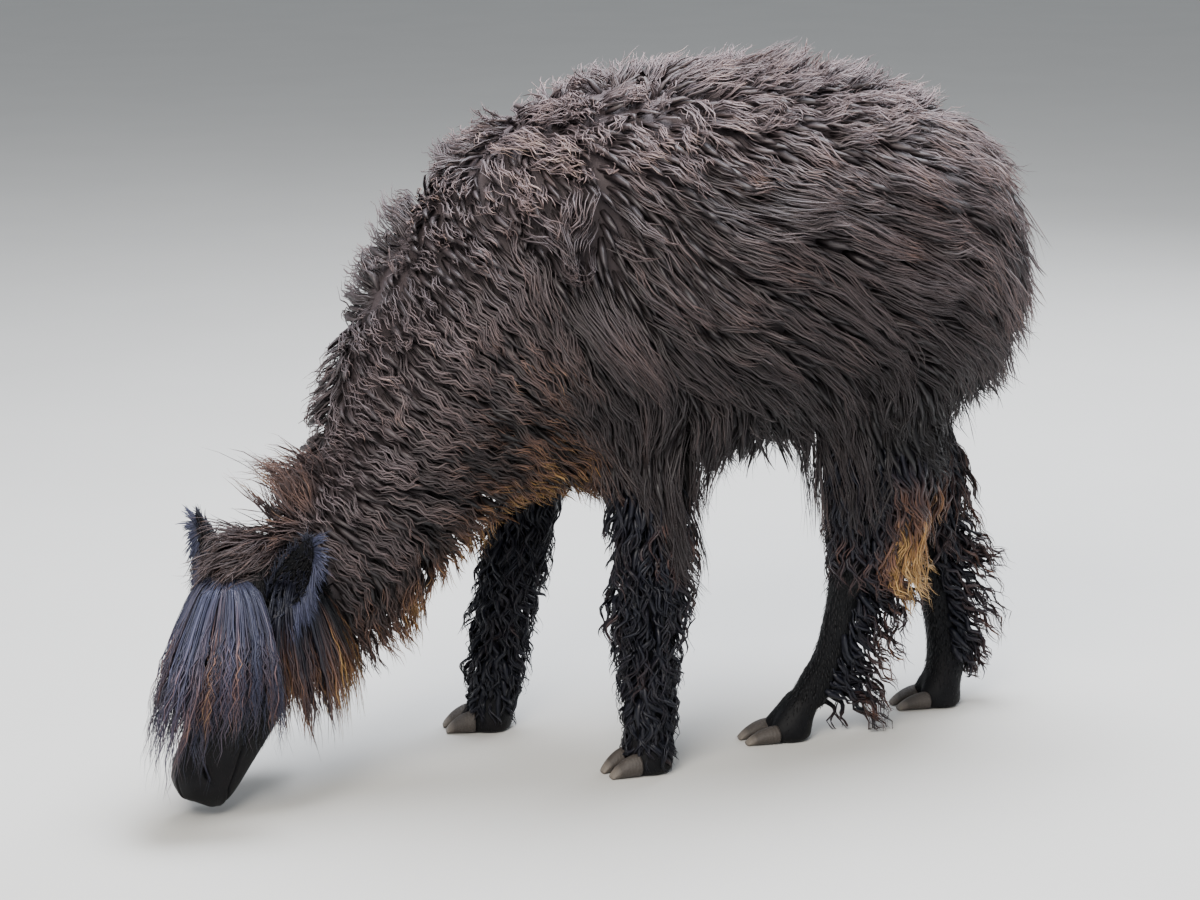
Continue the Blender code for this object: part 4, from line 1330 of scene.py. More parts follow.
def hang(centre, shape, angle, depth, roots, steps):
    """Middle lines of hair that leaves the skin at roots and falls over a shape. angle is the place round the
    shape, and depth how far out in it."""
    drop, push, shift, wide, front, rear = resample(shape, 60).T
    across, ahead = np.cos(angle)[:, None], np.sin(angle)[:, None]
    reach = np.where(ahead > 0, front, rear)
    level = push + depth[:, None] * reach * ahead
    aside = shift + depth[:, None] * wide * across
    lines = centre + level[..., None] * FRONT + aside[..., None] * LEFT
    lines[..., 2] -= drop
    lines = np.concatenate([roots[:, None, :], lines[:, 5:]], axis=1)
    run = run_along(lines)
    at = np.linspace(0, 1, steps + 1) * run[:, -1:]
    even = np.stack([[np.interp(a, r, line[:, k]) for k in range(3)] for a, r, line in zip(at, run, lines)])
    return even.transpose(0, 2, 1), np.repeat((FRONT * ahead + LEFT * across)[:, None, :], steps + 1, axis=1)


def clear_of_skin(paths, tree, gap):
    """Moves what lies in the skin or closer than gap to it out to that height."""
    flat = paths[:, 1:].reshape(-1, 3)
    _, normal, height = nearest(tree, flat)
    least = np.tile(np.linspace(0.3, 1, paths.shape[1] - 1), len(paths)) * np.repeat(gap, paths.shape[1] - 1)
    lift = np.where(height < -0.05, 0, np.maximum(least - height, 0))
    out = paths.copy()
    out[:, 1:] = (flat + normal * lift[:, None]).reshape(len(paths), -1, 3)
    return out


def cut_off(whole, ups, drop, steps):
    """Ends each line at its share drop of the way down."""
    at = np.linspace(0, 1, steps + 1) * np.minimum(drop, 1.0)[:, None]
    return along_path(whole, at), ups[:, : steps + 1]


def on_skin(tree, points):
    on, normal, _ = nearest(tree, points)
    return on, unit(normal)


def clumped(paths, key, leading, power, pull, draw):
    """Draws hair together into pointed locks. key is where each path lies among its neighbours."""
    leader = leader_of(key, np.flatnonzero(draw.uniform(size=len(paths)) < leading))
    share = np.linspace(0, 1, paths.shape[1])[None, :, None] ** power
    return paths + (paths[leader] - paths) * share * pull[:, None, None], leader


def grow_forelock(trees):
    """The long fringe. It fans out from the crown and falls over the eyes and nose in pointed wavy locks."""
    tree = trees[0]
    crown = in_head(0.11 * HEAD_LENGTH, 0.046, 0)
    locks = 430
    draw = np.random.default_rng(71)
    angle = draw.uniform(-0.06 * math.pi, 0.96 * math.pi, locks)
    depth = np.sqrt(draw.uniform(0.20, 1.0, locks))
    across, ahead = np.cos(angle), np.sin(angle)
    spot = crown + np.outer(0.013 * depth * ahead, FRONT) + np.outer(0.016 * depth * across, LEFT)
    roots, _ = on_skin(tree, spot)
    place = np.stack([depth * across, depth * ahead], axis=1)
    whole, ups = hang(crown, FRINGE_SHAPE, angle, depth, roots, 24)
    whole, leader = clumped(whole, place, 0.12, 1.1, draw.uniform(0.60, 0.96, locks), draw)
    # Each lock sways to the side as a whole, and some lie higher than their neighbours.
    share = np.linspace(0, 1, whole.shape[1])[None, :]
    bends, start = draw.uniform(4.0, 8.0, locks)[leader], draw.uniform(0, math.tau, locks)[leader]
    sway = np.sin(share * bends[:, None] + start[:, None]) * 0.010 * share
    raised = draw.uniform(-0.012, 0.008, locks)[leader][:, None] * smooth_step(0, 0.25, share)
    whole = whole + sway[..., None] * LEFT + raised[..., None] * ups
    drop = draw.uniform(0.68, 0.95, locks)[leader] * draw.uniform(0.90, 1.05, locks)
    drop = np.where(draw.uniform(size=locks) < 0.04, draw.uniform(0.92, 1.0, locks), drop)
    paths, ups = cut_off(whole, ups, drop * (1 - 0.15 * smooth_step(-0.1, 0.8, across)), 12)
    paths = clear_of_skin(paths, tree, draw.uniform(0.005, 0.013, locks))
    # Locks deep in the fringe, under the outer ones, are darker and less grey-blue: painted shade. Locks that
    # lie higher are paler: painted light. The mix towards the cool colour is a painted grey-blue sheen,
    # strongest near the roots.
    inner = smooth_step(0.93, 0.76, depth[leader])
    pale = draw.normal(0, 0.12, locks)[leader] + 6.0 * raised[:, -1]
    warm = np.clip(0.40 + 0.45 * swirl(paths[:, -1], 0.06, 9)[:, 0] + 0.30 * np.maximum(ahead, 0), 0, 1)
    sheen = draw.uniform(0.30, 1.0, locks)[leader] * draw.uniform(0.7, 1.1, locks)
    tone = {
        "root": 0.09 + pale - 0.20 * inner,
        "tip": 0.31 + 0.12 * warm + 0.5 * pale - 0.20 * inner,
        "fade_sheen_mix": 0.82 * sheen * (1 - 0.6 * inner),
        "fade_sheen_mix_tip": 0.06 + 0.24 * sheen,
        "turn": draw.uniform(0.36, 0.60, locks),
    }
    strands = fray(paths, ups, 4, even_look("forelock", locks), 72)
    lines = strands[0]
    past = np.maximum(FRINGE_LIMIT - lines[..., 1], 0)
    lines[..., 1] = np.maximum(lines[..., 1], FRINGE_LIMIT) - FRINGE_ROOM * (1 - np.exp(-past / FRINGE_ROOM))
    flat = map_of(roots, "head")
    halves = (("forelock_left", across > 0), ("forelock_right", across <= 0))
    return [save_strands(name, strands, tone, flat, chosen, 0.12) for name, chosen in halves]


def grow_cheek(side, trees):
    """Long hair from below the ear down past the jaw: black at the root, golden at the hem."""
    sign, tree = SIDES[side], trees[0]
    centre = in_head(0.14 * HEAD_LENGTH, -0.050, sign * 0.066)
    shape = [(drop, push, sign * shift, *rest) for drop, push, shift, *rest in CHEEK_SHAPE]
    locks = 310
    draw = np.random.default_rng(81 if side == "left" else 82)
    angle = draw.uniform(0, math.tau, locks)
    depth = np.sqrt(draw.uniform(0.05, 1.0, locks))
    across, ahead = np.cos(angle), np.sin(angle)
    spot = centre + np.outer(0.055 * depth * ahead - 0.002, FRONT)
    spot = spot + np.outer(sign * 0.022 * np.maximum(across * sign, -0.2), LEFT)
    spot[:, 2] += draw.uniform(-0.070, 0.052, locks)
    roots, _ = on_skin(tree, spot)
    place = np.stack([depth * across * 0.5, depth * ahead], axis=1)
    whole, ups = hang(centre, shape, angle, depth, roots, 18)
    whole, leader = clumped(whole, place, 0.18, 1.3, draw.uniform(0.40, 0.85, locks), draw)
    drop = draw.uniform(0.70, 0.95, locks)[leader] * draw.uniform(0.86, 1.04, locks)
    paths, ups = cut_off(whole, ups, drop, 9)
    paths = clear_of_skin(paths, tree, draw.uniform(0.003, 0.010, locks))
    rear = smooth_step(0.5, -0.9, ahead)
    # At the front the hair is mixed a little towards the cool colour: a faint painted sheen.
    tone = {
        "root": np.zeros(locks),
        "tip": 0.60 + 0.22 * rear + draw.normal(0, 0.07, locks)[leader],
        "fade_sheen_mix": 0.08 * (1 - rear),
        "fade_sheen_mix_tip": 0.05 * (1 - rear),
        "turn": draw.uniform(0.50, 0.74, locks) - 0.06 * rear,
    }
    strands = fray(paths, ups, 4, even_look("cheek", locks), 83)
    return save_strands(f"cheek_wool_{side}_hair", strands, tone, map_of(roots, "head"))


def free_hair(roots, ups, way, length, droop, steps, sway, seed):
    """Middle lines of hair that stands off the skin along way and droops towards its tip."""
    here, paths = roots.copy(), [roots]
    for k in range(steps):
        share = (k + 1) / steps
        step = unit(way) + ups * 0.35 * (1 - share) + DOWN * droop * share**1.5
        step = step + swirl(here, 0.05, seed) * sway
        here = here + unit(step) * (length / steps)[:, None]
        paths.append(here)
    return np.stack(paths, axis=1), np.repeat(ups[:, None, :], steps + 1, axis=1)


def grow_nape(surface):
    """The tuft behind and between the ears. It is brown, and sweeps forwards over the crown in fine wisps."""

    def spacing(middle, normal):
        along, out, left = head_places(middle).T
        narrow = 0.080 - 0.034 * smooth_step(-0.06, 0.01, along)
        here = (along > -0.150) & (along < 0.036) & (np.abs(left) < narrow) & (out > -0.045)
        here &= normal[:, 2] > -0.25
        return np.where(here, np.where(along < -0.03, 0.0086, 0.0106), 0)

    roots, ups = plant(*surface, spacing, 91)
    locks = len(roots)
    draw = np.random.default_rng(92)
    along, out, left = head_places(roots).T
    rear = smooth_step(-0.01, -0.07, along)
    way = np.tile(FRONT * 0.85 + DOWN * 0.10, (locks, 1))
    way = way - np.outer(0.22 + 0.30 * smooth_step(0.02, 0.05, left), LEFT)
    way = way + (FRONT * 0.62 - DOWN * 0.92 - LEFT * 0.12 - way) * rear[:, None]
    way = way + draw.normal(0, 0.13, (locks, 3))
    length = draw.uniform(0.060, 0.095, locks) * (1 + 0.38 * rear)
    length = length * (1 - 0.45 * smooth_step(0.0, 0.036, along))
    paths, uplines = free_hair(roots, ups, way, length, 0.60 - 0.05 * rear[:, None], 6, 0.26, 93)
    # The slight mix towards the faded colour greys the tuft, partly as sun-fading and partly as painted
    # sheen, like the rest of the neck.
    fade_sheen_mix, turn = np.full(locks, 0.30), np.full(locks, 0.45)
    tone = {"root": 0.06 + 0.10 * rear, "tip": 0.36 + 0.18 * rear, "fade_sheen_mix": fade_sheen_mix, "turn": turn}
    strands = fray(paths, uplines, 5, even_look("nape", locks), 94)
    return save_strands("nape_tuft", strands, tone, map_of(roots, "head"))


OUTER_RIM, BOTH_RIMS = 0.42, 0.55  # shares of the hair of an ear on the outer rim, and on both rims together


def grow_ear_hair(side, trees):
    """Hair along the rims of an ear and inside its cup. It is longest on the rim away from the head."""
    root, up, cup, across = ear_frame(side)
    seed = 101 if side == "left" else 102
    draw = np.random.default_rng(seed)
    locks = 270
    t = draw.uniform(0.0, 0.97, locks)
    outward = np.sign(np.dot(across, LEFT) * SIDES[side])
    where = draw.uniform(size=locks)
    outer, rim = where < OUTER_RIM, where < BOTH_RIMS
    u = np.where(outer, outward, np.where(rim, -outward, draw.uniform(-0.9, 0.9, locks)))
    half, hollow, bow = ear_shape(t)
    spot = root + np.outer(EAR_LENGTH * t, up) + np.outer(half * u, across)
    roots, _ = on_skin(trees[0], spot - np.outer(bow + hollow * (1 - u * u), cup))
    fall = smooth_step(1.0, 0.55, t) * outer
    way = up * 0.80 + across * (u * np.where(rim, 0.40, -0.10))[:, None]
    way = way + cup * np.where(rim, 0.12, 0.10)[:, None]
    way = way + (DOWN * 0.9 + across * (outward * 0.42) + cup * 0.10 - way) * fall[:, None]
    way = way + draw.normal(0, 0.09, (locks, 3))
    length = np.where(outer, draw.uniform(0.036, 0.058, locks), draw.uniform(0.012, 0.026, locks))
    ups = np.repeat(cup[None, :], locks, axis=0)
    paths, uplines = free_hair(roots, ups, way, length * (1.15 - 0.55 * t), 0.5, 5, 0.15, seed)
    # The long hair of the outer rim is mixed well towards the cool colour: a painted bluish sheen on black
    # hair.
    tone = {
        "root": np.full(locks, 0.01), "tip": np.where(outer, 0.13, 0.02),
        "fade_sheen_mix": np.where(outer, 0.60, 0.10), "turn": np.full(locks, 0.4),
    }
    strands = fray(paths, uplines, 3, even_look("ear", locks), seed + 10)
    return save_strands("ear_hair_" + side, strands, tone, map_of(roots, "ear_" + side))


# ---------------------------------------------------------------- node helpers and materials


def hex_colour(text):
    """An sRGB hex colour as the linear values that Blender works in."""
    values = [int(text[k : k + 2], 16) / 255 for k in (1, 3, 5)]
    return (*[v / 12.92 if v <= 0.04045 else ((v + 0.055) / 1.055) ** 2.4 for v in values], 1.0)


class Nodes:
    """Builds one tree of nodes. A value for an input is a number, a vector or an output of another node."""

    def __init__(self, tree):
        self.tree = tree

    def fill(self, socket, value):
        if isinstance(value, bpy.types.NodeSocket):
            self.tree.links.new(value, socket)
        else:
            socket.default_value = value

    def add(self, kind, settings=None, **inputs):
        """Adds a node with its own settings, and fills its inputs by name."""
        node = self.tree.nodes.new(kind)
        for key, value in (settings or {}).items():
            setattr(node, key, value)
        for key, value in inputs.items():
            self.fill(next(s for s in node.inputs if s.enabled and s.name.replace(" ", "_") == key), value)
        return node

    def combine(self, kind, operation, values, settings):
        """Adds a node of mathematics, and fills its inputs in order."""
        node = self.add(kind, {"operation": operation, **settings})
        for socket, value in zip(node.inputs, values):
            self.fill(socket, value)
        return node.outputs[0]

    def maths(self, operation, *values, **settings):
        return self.combine("ShaderNodeMath", operation, values, settings)

    def vectors(self, operation, *values):
        return self.combine("ShaderNodeVectorMath", operation, values, {})

    def scaled(self, vector, factor):
        node = self.add("ShaderNodeVectorMath", {"operation": "SCALE"}, Vector=vector, Scale=factor)
        return node.outputs[0]

    def read(self, name, output="Vector"):
        return self.add("ShaderNodeAttribute", {"attribute_name": name}).outputs[output]

    def place(self):
        return self.add("ShaderNodeTexCoord").outputs["Object"]

    def noise(self, place, scale, detail, roughness=0.5):
        made = self.add("ShaderNodeTexNoise", Vector=place, Scale=scale, Detail=detail, Roughness=roughness)
        return made.outputs["Fac"]

    def fade(self, value, low, high):
        return self.add("ShaderNodeMapRange", Value=value, From_Min=low, From_Max=high).outputs[0]

    def mix(self, factor, low, high, blend="MIX"):
        settings = {"data_type": "RGBA", "blend_type": blend}
        return self.add("ShaderNodeMix", settings, Factor=factor, A=low, B=high).outputs["Result"]

    def ramp(self, factor, stops):
        node = self.add("ShaderNodeValToRGB", Fac=factor)
        elements = node.color_ramp.elements
        for element, (place, colour) in zip(elements, (stops[0], stops[-1])):
            element.position, element.color = place, colour
        for place, colour in stops[1:-1]:
            elements.new(place).color = colour
        return node.outputs["Color"]


def make_material(name, look, **shader):
    """A material. look(nodes) gives its colour, then the height, strength and depth of any bump."""
    made = bpy.data.materials.new(name)
    made.use_nodes = True
    made.node_tree.nodes.clear()
    nodes = Nodes(made.node_tree)
    colour, *bump = look(nodes)
    if bump:
        height, strength, depth = bump
        relief = nodes.add("ShaderNodeBump", Height=height, Strength=strength, Distance=depth)
        shader["Normal"] = relief.outputs[0]
    surface = nodes.add("ShaderNodeBsdfPrincipled", Base_Color=colour, **shader)
    nodes.add("ShaderNodeOutputMaterial", Surface=surface.outputs[0])
    return made


# The colours of the coat, and the tone from 0 to 1 at which each one stands.
TONE_STOPS = {"black": 0.02, "dark_brown": 0.20, "brown": 0.44, "russet": 0.62, "gold": 0.80, "straw": 0.96}
PATCH_SCALE = 16.0  # uneven patches about 60 mm across
PATCH_SPREAD = 0.30  # how far a patch moves the tone, from its darkest to its palest
STREAK_SPREAD = 0.46  # the same for a streak


def tone_colour(nodes, streaks, seed, faded_and_sheen):
    """The colour of hair from its tone, with pale streaks, larger uneven patches, and places mixed with the
    faded colour, which stands for sun-faded hair and for painted sheen.
    """
    coat = bpy.context.scene.llama_coat
    fade_sheen_mix = nodes.read("fade_sheen_mix", "Fac")
    patches = nodes.noise(nodes.place(), PATCH_SCALE + seed, 2.0)
    spread = nodes.maths("MULTIPLY_ADD", patches, PATCH_SPREAD, -PATCH_SPREAD / 2)
    streak = nodes.maths("MULTIPLY_ADD", streaks, STREAK_SPREAD, -STREAK_SPREAD / 2)
    patched = nodes.maths("ADD", nodes.read("tone", "Fac"), spread)
    tone = nodes.maths("ADD", patched, streak, use_clamp=True)
    colour = nodes.ramp(tone, [(place, (*getattr(coat, key), 1.0)) for key, place in TONE_STOPS.items()])
    # The faded colour, sun-fading and painted sheen alike, is scaled by the tone: hair mixed with it stays as
    # light as its tone.
    light = nodes.maths("MULTIPLY_ADD", tone, 2.5, -0.02)
    return nodes.mix(fade_sheen_mix, nodes.mix(fade_sheen_mix, colour, (*faded_and_sheen, 1.0)), light, "MULTIPLY")


def hair_material(name, roughness, gloss, bump, seed, faded_and_sheen):
    """Keratin hair: streaks run along each strand, one or two millimetres apart, coarser than single hairs so
    that they show. The lustre comes from a medium roughness."""

    def look(nodes):
        along_strand = nodes.vectors("MULTIPLY", nodes.read("fibre"), (620.0, 26.0, 1.0))
        streaks = nodes.noise(along_strand, 1.0, 2.0, 0.6)
        return tone_colour(nodes, streaks, seed, faded_and_sheen), streaks, bump, 0.0010

    return make_material(name, look, Roughness=roughness, Specular_IOR_Level=gloss, IOR=1.55)


def skin_material():
    """Skin under its down: matt, with the close nap of the coat as a fine bump and the coat's colours, partly
    painted shade and sheen.
    The hairs of the nap are drawn 1.5 mm apart and 5 mm long, coarser than real down so that they show."""

    def look(nodes):
        nap = nodes.noise(nodes.vectors("MULTIPLY", nodes.place(), (640.0, 640.0, 210.0)), 1.0, 3.0, 0.6)
        return tone_colour(nodes, nap, 2.0, bpy.context.scene.llama_coat.faded_and_sheen), nap, 0.5, 0.0008

    return make_material("skin with close down", look, Roughness=0.60, Specular_IOR_Level=0.22, IOR=1.45)


def eye_material():
    """A wet eyeball: a near-black brown iris round a level slot of a pupil, under a clear film."""

    def look(nodes):
        gaze = nodes.read("gaze")
        along, across, _ = nodes.add("ShaderNodeSeparateXYZ", Vector=gaze).outputs
        along, across = nodes.maths("POWER", along, 2.0), nodes.maths("POWER", across, 2.0)
        slot = nodes.fade(nodes.maths("MULTIPLY_ADD", across, 4.5, along), 0.16, 0.24)
        rim = nodes.fade(nodes.maths("ADD", along, across), 0.42, 0.58)
        iris = nodes.mix(nodes.noise(gaze, 9.0, 4.0), hex_colour("#150C08"), hex_colour("#3A2113"))
        return (nodes.mix(rim, nodes.mix(slot, hex_colour("#040404"), iris), hex_colour("#1B1513")),)

    film = {"Coat_Weight": 1.0, "Coat_Roughness": 0.03}
    return make_material("wet eyeball", look, Roughness=0.08, IOR=1.38, Specular_IOR_Level=0.5, **film)


def nail_material():
    """Horn worn by walking: grey-brown, with growth lines across it, scratches along it, a pale worn edge."""

    def look(nodes):
        place = nodes.read("nail_place")
        along = nodes.add("ShaderNodeSeparateXYZ", Vector=place).outputs[0]
        drift = nodes.maths("MULTIPLY", nodes.noise(place, 3.0, 2.0), 9.0)
        growth = nodes.maths("SINE", nodes.maths("MULTIPLY_ADD", along, 58.0, drift))
        grain = nodes.noise(nodes.vectors("MULTIPLY", place, (7.0, 60.0, 60.0)), 1.0, 5.0)
        stops = [(0.30, hex_colour("#1F1B1A")), (0.52, hex_colour("#3F3935")), (0.75, hex_colour("#6A625B"))]
        worn = nodes.maths("MULTIPLY", nodes.fade(along, 0.72, 1.0), grain)
        colour = nodes.mix(worn, nodes.ramp(grain, stops), hex_colour("#9D9388"))
        return colour, nodes.maths("MULTIPLY_ADD", growth, 0.35, grain), 0.6, 0.0006

    return make_material("worn horn", look, Roughness=0.55, Specular_IOR_Level=0.4, IOR=1.54)


def floor_material(colour):
    """Plain matt studio board."""

    def look(nodes):
        stops = [(0.3, (*(c * 0.97 for c in colour), 1.0)), (0.7, (*colour, 1.0))]
        return (nodes.ramp(nodes.noise(nodes.place(), 2.2, 4.0), stops),)

    return make_material("matt studio board", look, Roughness=0.9, Specular_IOR_Level=0.2)


def put_on(piece, material, slot, *nodes):
    """Gives a finished piece its material and body, and hides the solids that it stands for; its slot is not
    used.
    """
    piece.data.materials.clear()
    piece.data.materials.append(material)
    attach(piece, "root")
    if nodes:
        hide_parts(*nodes)


# ---------------------------------------------------------------- short coat, by geometry nodes


SHAKE = 0.22  # how far a tuft strays from the comb's direction, to each side
TUFT_FIBRE = (0.0030, 0.010, 0.0)  # a tuft's width and length, as the streaks of its material measure them


def tuft_seed_mesh():
    """One short tuft: it lies along +X, its base at the origin, and is one unit long."""
    shell = bmesh.new()
    rings = []
    for along, half, low, high in ((0.0, 0.08, 0.00, 0.04), (0.55, 0.10, 0.05, 0.09)):
        ring = ((along, -half, low), (along, half, low), (along, 0, high))
        rings.append([shell.verts.new(p) for p in ring])
    tip = shell.verts.new((1.0, 0, 0.015))
    for a, b in zip(rings, rings[1:]):
        for k in range(3):
            shell.faces.new((a[k], a[(k + 1) % 3], b[(k + 1) % 3], b[k]))
    for k in range(3):
        shell.faces.new((rings[-1][k], rings[-1][(k + 1) % 3], tip))
    shell.faces.new(rings[0][::-1])
    bmesh.ops.recalc_face_normals(shell, faces=shell.faces)
    mesh = mesh_from(shell, "tuft")
    along, across, _ = points_of(mesh).T
    write_value(mesh, "patch", np.column_stack([across / 0.2 + 0.5, along, along * 0]), "FLOAT_VECTOR")
    mesh.shade_smooth()
    return new_object("tuft_seed", mesh)


def tuft_tree(seed_tuft, material):
    """Scatters tufts over a surface, laid along its comb attribute, and makes them real."""
    tree = bpy.data.node_groups.new("short coat", "GeometryNodeTree")
    face = tree.interface
    face.new_socket("Geometry", in_out="INPUT", socket_type="NodeSocketGeometry")
    for name, value in (("Distance", 0.005), ("Length", 0.010), ("Rise", 0.12)):
        face.new_socket(name, in_out="INPUT", socket_type="NodeSocketFloat").default_value = value
    face.new_socket("Seed", in_out="INPUT", socket_type="NodeSocketInt").default_value = 5
    face.new_socket("Geometry", in_out="OUTPUT", socket_type="NodeSocketGeometry")
    nodes = Nodes(tree)
    given = nodes.add("NodeGroupInput").outputs
    seed = given["Seed"]

    def named(name, kind="FLOAT_VECTOR"):
        read = nodes.add("GeometryNodeInputNamedAttribute", {"data_type": kind}, Name=name)
        return read.outputs["Attribute"]

    def store(geometry, name, kind, domain, value):
        settings = {"data_type": kind, "domain": domain}
        inputs = {"Geometry": geometry, "Name": name, "Value": value}
        return nodes.add("GeometryNodeStoreNamedAttribute", settings, **inputs).outputs[0]

    size = named("short", "FLOAT")
    spots = nodes.add(
        "GeometryNodeDistributePointsOnFaces", {"distribute_method": "POISSON"}, Mesh=given["Geometry"],
        Distance_Min=given["Distance"], Density_Max=90000.0, Density_Factor=size, Seed=seed,
    ).outputs
    away = nodes.scaled(spots["Normal"], given["Rise"])
    random = "FunctionNodeRandomValue"
    low, high = (-SHAKE,) * 3, (SHAKE,) * 3
    shake = nodes.add(random, {"data_type": "FLOAT_VECTOR"}, Min=low, Max=high, Seed=seed).outputs[0]
    lie = nodes.vectors("ADD", nodes.vectors("ADD", named("comb"), away), shake)
    turn = nodes.add(
        "FunctionNodeAxesToRotation", {"primary_axis": "X", "secondary_axis": "Z"},
        Primary_Axis=lie, Secondary_Axis=spots["Normal"],
    ).outputs[0]
    varied = nodes.add(random, {"data_type": "FLOAT"}, Min=0.7, Max=1.3, Seed=seed).outputs[1]
    long = nodes.maths("MULTIPLY", nodes.maths("MULTIPLY", varied, given["Length"]), size)
    model = nodes.add("GeometryNodeObjectInfo", Object=seed_tuft).outputs["Geometry"]
    tufts = nodes.add(
        "GeometryNodeInstanceOnPoints", Points=spots["Points"], Instance=model, Rotation=turn, Scale=long
    )
    real = nodes.add("GeometryNodeRealizeInstances", Geometry=tufts.outputs[0]).outputs[0]
    root, patch = named("root_map"), named("patch")
    flat = nodes.vectors("ADD", root, nodes.scaled(patch, MAP_PATCH))
    real = store(real, "OFBake", "FLOAT2", "CORNER", flat)
    fibre = nodes.vectors("ADD", nodes.vectors("MULTIPLY", patch, TUFT_FIBRE), root)
    real = store(real, "fibre", "FLOAT_VECTOR", "POINT", fibre)
    dressed = nodes.add("GeometryNodeSetMaterial", Geometry=real, Material=material)
    nodes.add("NodeGroupOutput", Geometry=dressed.outputs[0])
    return tree


def grow_short_coat(skin, material, distance, length):
    """Short tufts on face, ears, feet and the fronts of the hind cannons."""
    mesh = skin.data
    points, normals = points_of(mesh), normals_of(mesh)
    part = part_of(points)
    head_like = part >= PARTS.index("head")
    leg = (part > 0) & (part <= len(LEGS))
    smooth_leg = leg & ~woolly(points, normals, part)
    along, out, left = head_places(points).T
    amount = np.where(head_like, 1.0, np.where(smooth_leg, 0.95, 0.0))
    amount = np.where(head_like & (along < -0.02), 0.0, amount)
    # Shorter towards the lips, round the eyes and low on the feet.
    amount = amount * np.where(head_like, 1 - 0.75 * smooth_step(0.60, 0.86, along / HEAD_LENGTH), 1)
    amount = amount * np.where(leg, 0.45 + 0.55 * smooth_step(0.03, 0.09, points[:, 2]), 1)
    eye = np.hypot(np.hypot(along - EYE_AT[0], out - EYE_AT[1]), np.abs(left) - EYE_AT[2])
    amount = np.where(eye < EYE_RADIUS + 0.0035, 0, amount)
    amount = np.where(points[:, 2] < 0.006, 0, amount)
    way = np.where(leg[:, None], DOWN, AXIS * 0.75 + DOWN * 0.35)
    for side in SIDES:
        ear = part == PARTS.index("ear_" + side)
        way[ear] = ear_frame(side)[1]
    way = unit(way - normals * (way * normals).sum(1)[:, None] + swirl(points, 0.05, 12) * 0.15)
    base = new_object("short_coat", mesh.copy())
    base.data.materials.clear()
    write_value(base.data, "short", amount)
    write_value(base.data, "comb", way, "FLOAT_VECTOR")
    flat = unwrap(points, part)
    write_value(base.data, "root_map", np.column_stack([flat, flat[:, 0] * 0]), "FLOAT_VECTOR")
    base.data.uv_layers.remove(base.data.uv_layers["OFBake"])
    seed_tuft = tuft_seed_mesh()
    coat = base.modifiers.new("coat", "NODES")
    coat.node_group = tuft_tree(seed_tuft, material)
    sockets = {s.name: s.identifier for s in coat.node_group.interface.items_tree if s.in_out == "INPUT"}
    coat[sockets["Distance"]] = distance
    coat[sockets["Length"]] = length
    applied(base)
    bpy.data.objects.remove(seed_tuft)
    for name in ("comb", "short", "root_map", "patch"):
        if name in base.data.attributes:
            base.data.attributes.remove(base.data.attributes[name])
    return base


# ---------------------------------------------------------------- eyes and toenails


LASH_SEED = 111
# The lashes are mixed a little towards the cool colour: a painted sheen.
LASH_TONE = {"root": 0.02, "tip": 0.05, "fade_sheen_mix": 0.1, "turn": 0.5}


def build_eye(side):
    """An eyeball with a bulging cornea. gaze is the place on it as the eye looks out: along the slit of the
    lids, across it and outwards."""
    sign = SIDES[side]
    shell = bmesh.new()
    bmesh.ops.create_uvsphere(shell, u_segments=32, v_segments=20, radius=1)
    mesh = mesh_from(shell, "eyeball_" + side)
    points = unit(points_of(mesh))
    swell = 1 + 0.045 * smooth_step(0.80, 1.0, points[:, 2:])
    outward = unit(LEFT * sign * 0.93 + BROW * 0.16 + AXIS * 0.20)
    level = unit(AXIS - outward * np.dot(AXIS, outward))
    rise = np.cross(outward, level)
    write_value(mesh, "gaze", points, "FLOAT_VECTOR")
    ball = in_head(EYE_AT[0], EYE_AT[1], sign * EYE_AT[2])
    set_points(mesh, ball + (points * swell * EYE_RADIUS) @ np.array([level, rise, outward]))
    mesh.shade_smooth()
    # The front half of the ball and its rear half each have a round patch of the unwrap.
    corner = points[corners_of(mesh)]
    write_map(mesh, corner[:, :2] * 0.24 + np.where(corner[:, 2:] > 0, 0.25, 0.75))
    return new_object("eyeball_" + side, mesh)


def grow_lashes(tree):
    """Long dark lashes along both upper lids."""
    count = 26
    places, ways, ups = [], [], []
    for sign in SIDES.values():
        outward = LEFT * sign
        for k in range(count):
            share = -0.9 + 1.8 * k / (count - 1)
            rise = 0.0105 * (1 - share**2) + 0.0035
            places.append(in_head(EYE_AT[0] + 0.0165 * share, EYE_AT[1] + rise, sign * (EYE_AT[2] + 0.019)))
            ups.append(outward)
            ways.append(outward * 0.85 + BROW * 0.30 + AXIS * (0.30 + 0.5 * share))
    roots, _ = on_skin(tree, np.array(places))
    total = len(roots)
    long = np.full(total, 0.017)
    paths, uplines = free_hair(roots, np.array(ups), np.array(ways), long, 0.55, 5, 0.10, LASH_SEED)
    tone = {key: np.full(total, value) for key, value in LASH_TONE.items()}
    strands = (paths, uplines, np.arange(total), np.full(total, 0.0012), np.random.default_rng(LASH_SEED))
    return save_strands("eyelashes", strands, tone, map_of(roots, "head"))


NAIL_SIZES = {"fore": (0.046, 0.0375), "hind": (0.052, 0.0300)}  # length, and depth at the root
NAIL_EDGE = 0.007  # its depth at the worn edge
NAIL_UNIT = 0.02  # nail_place counts sideways and upwards in these


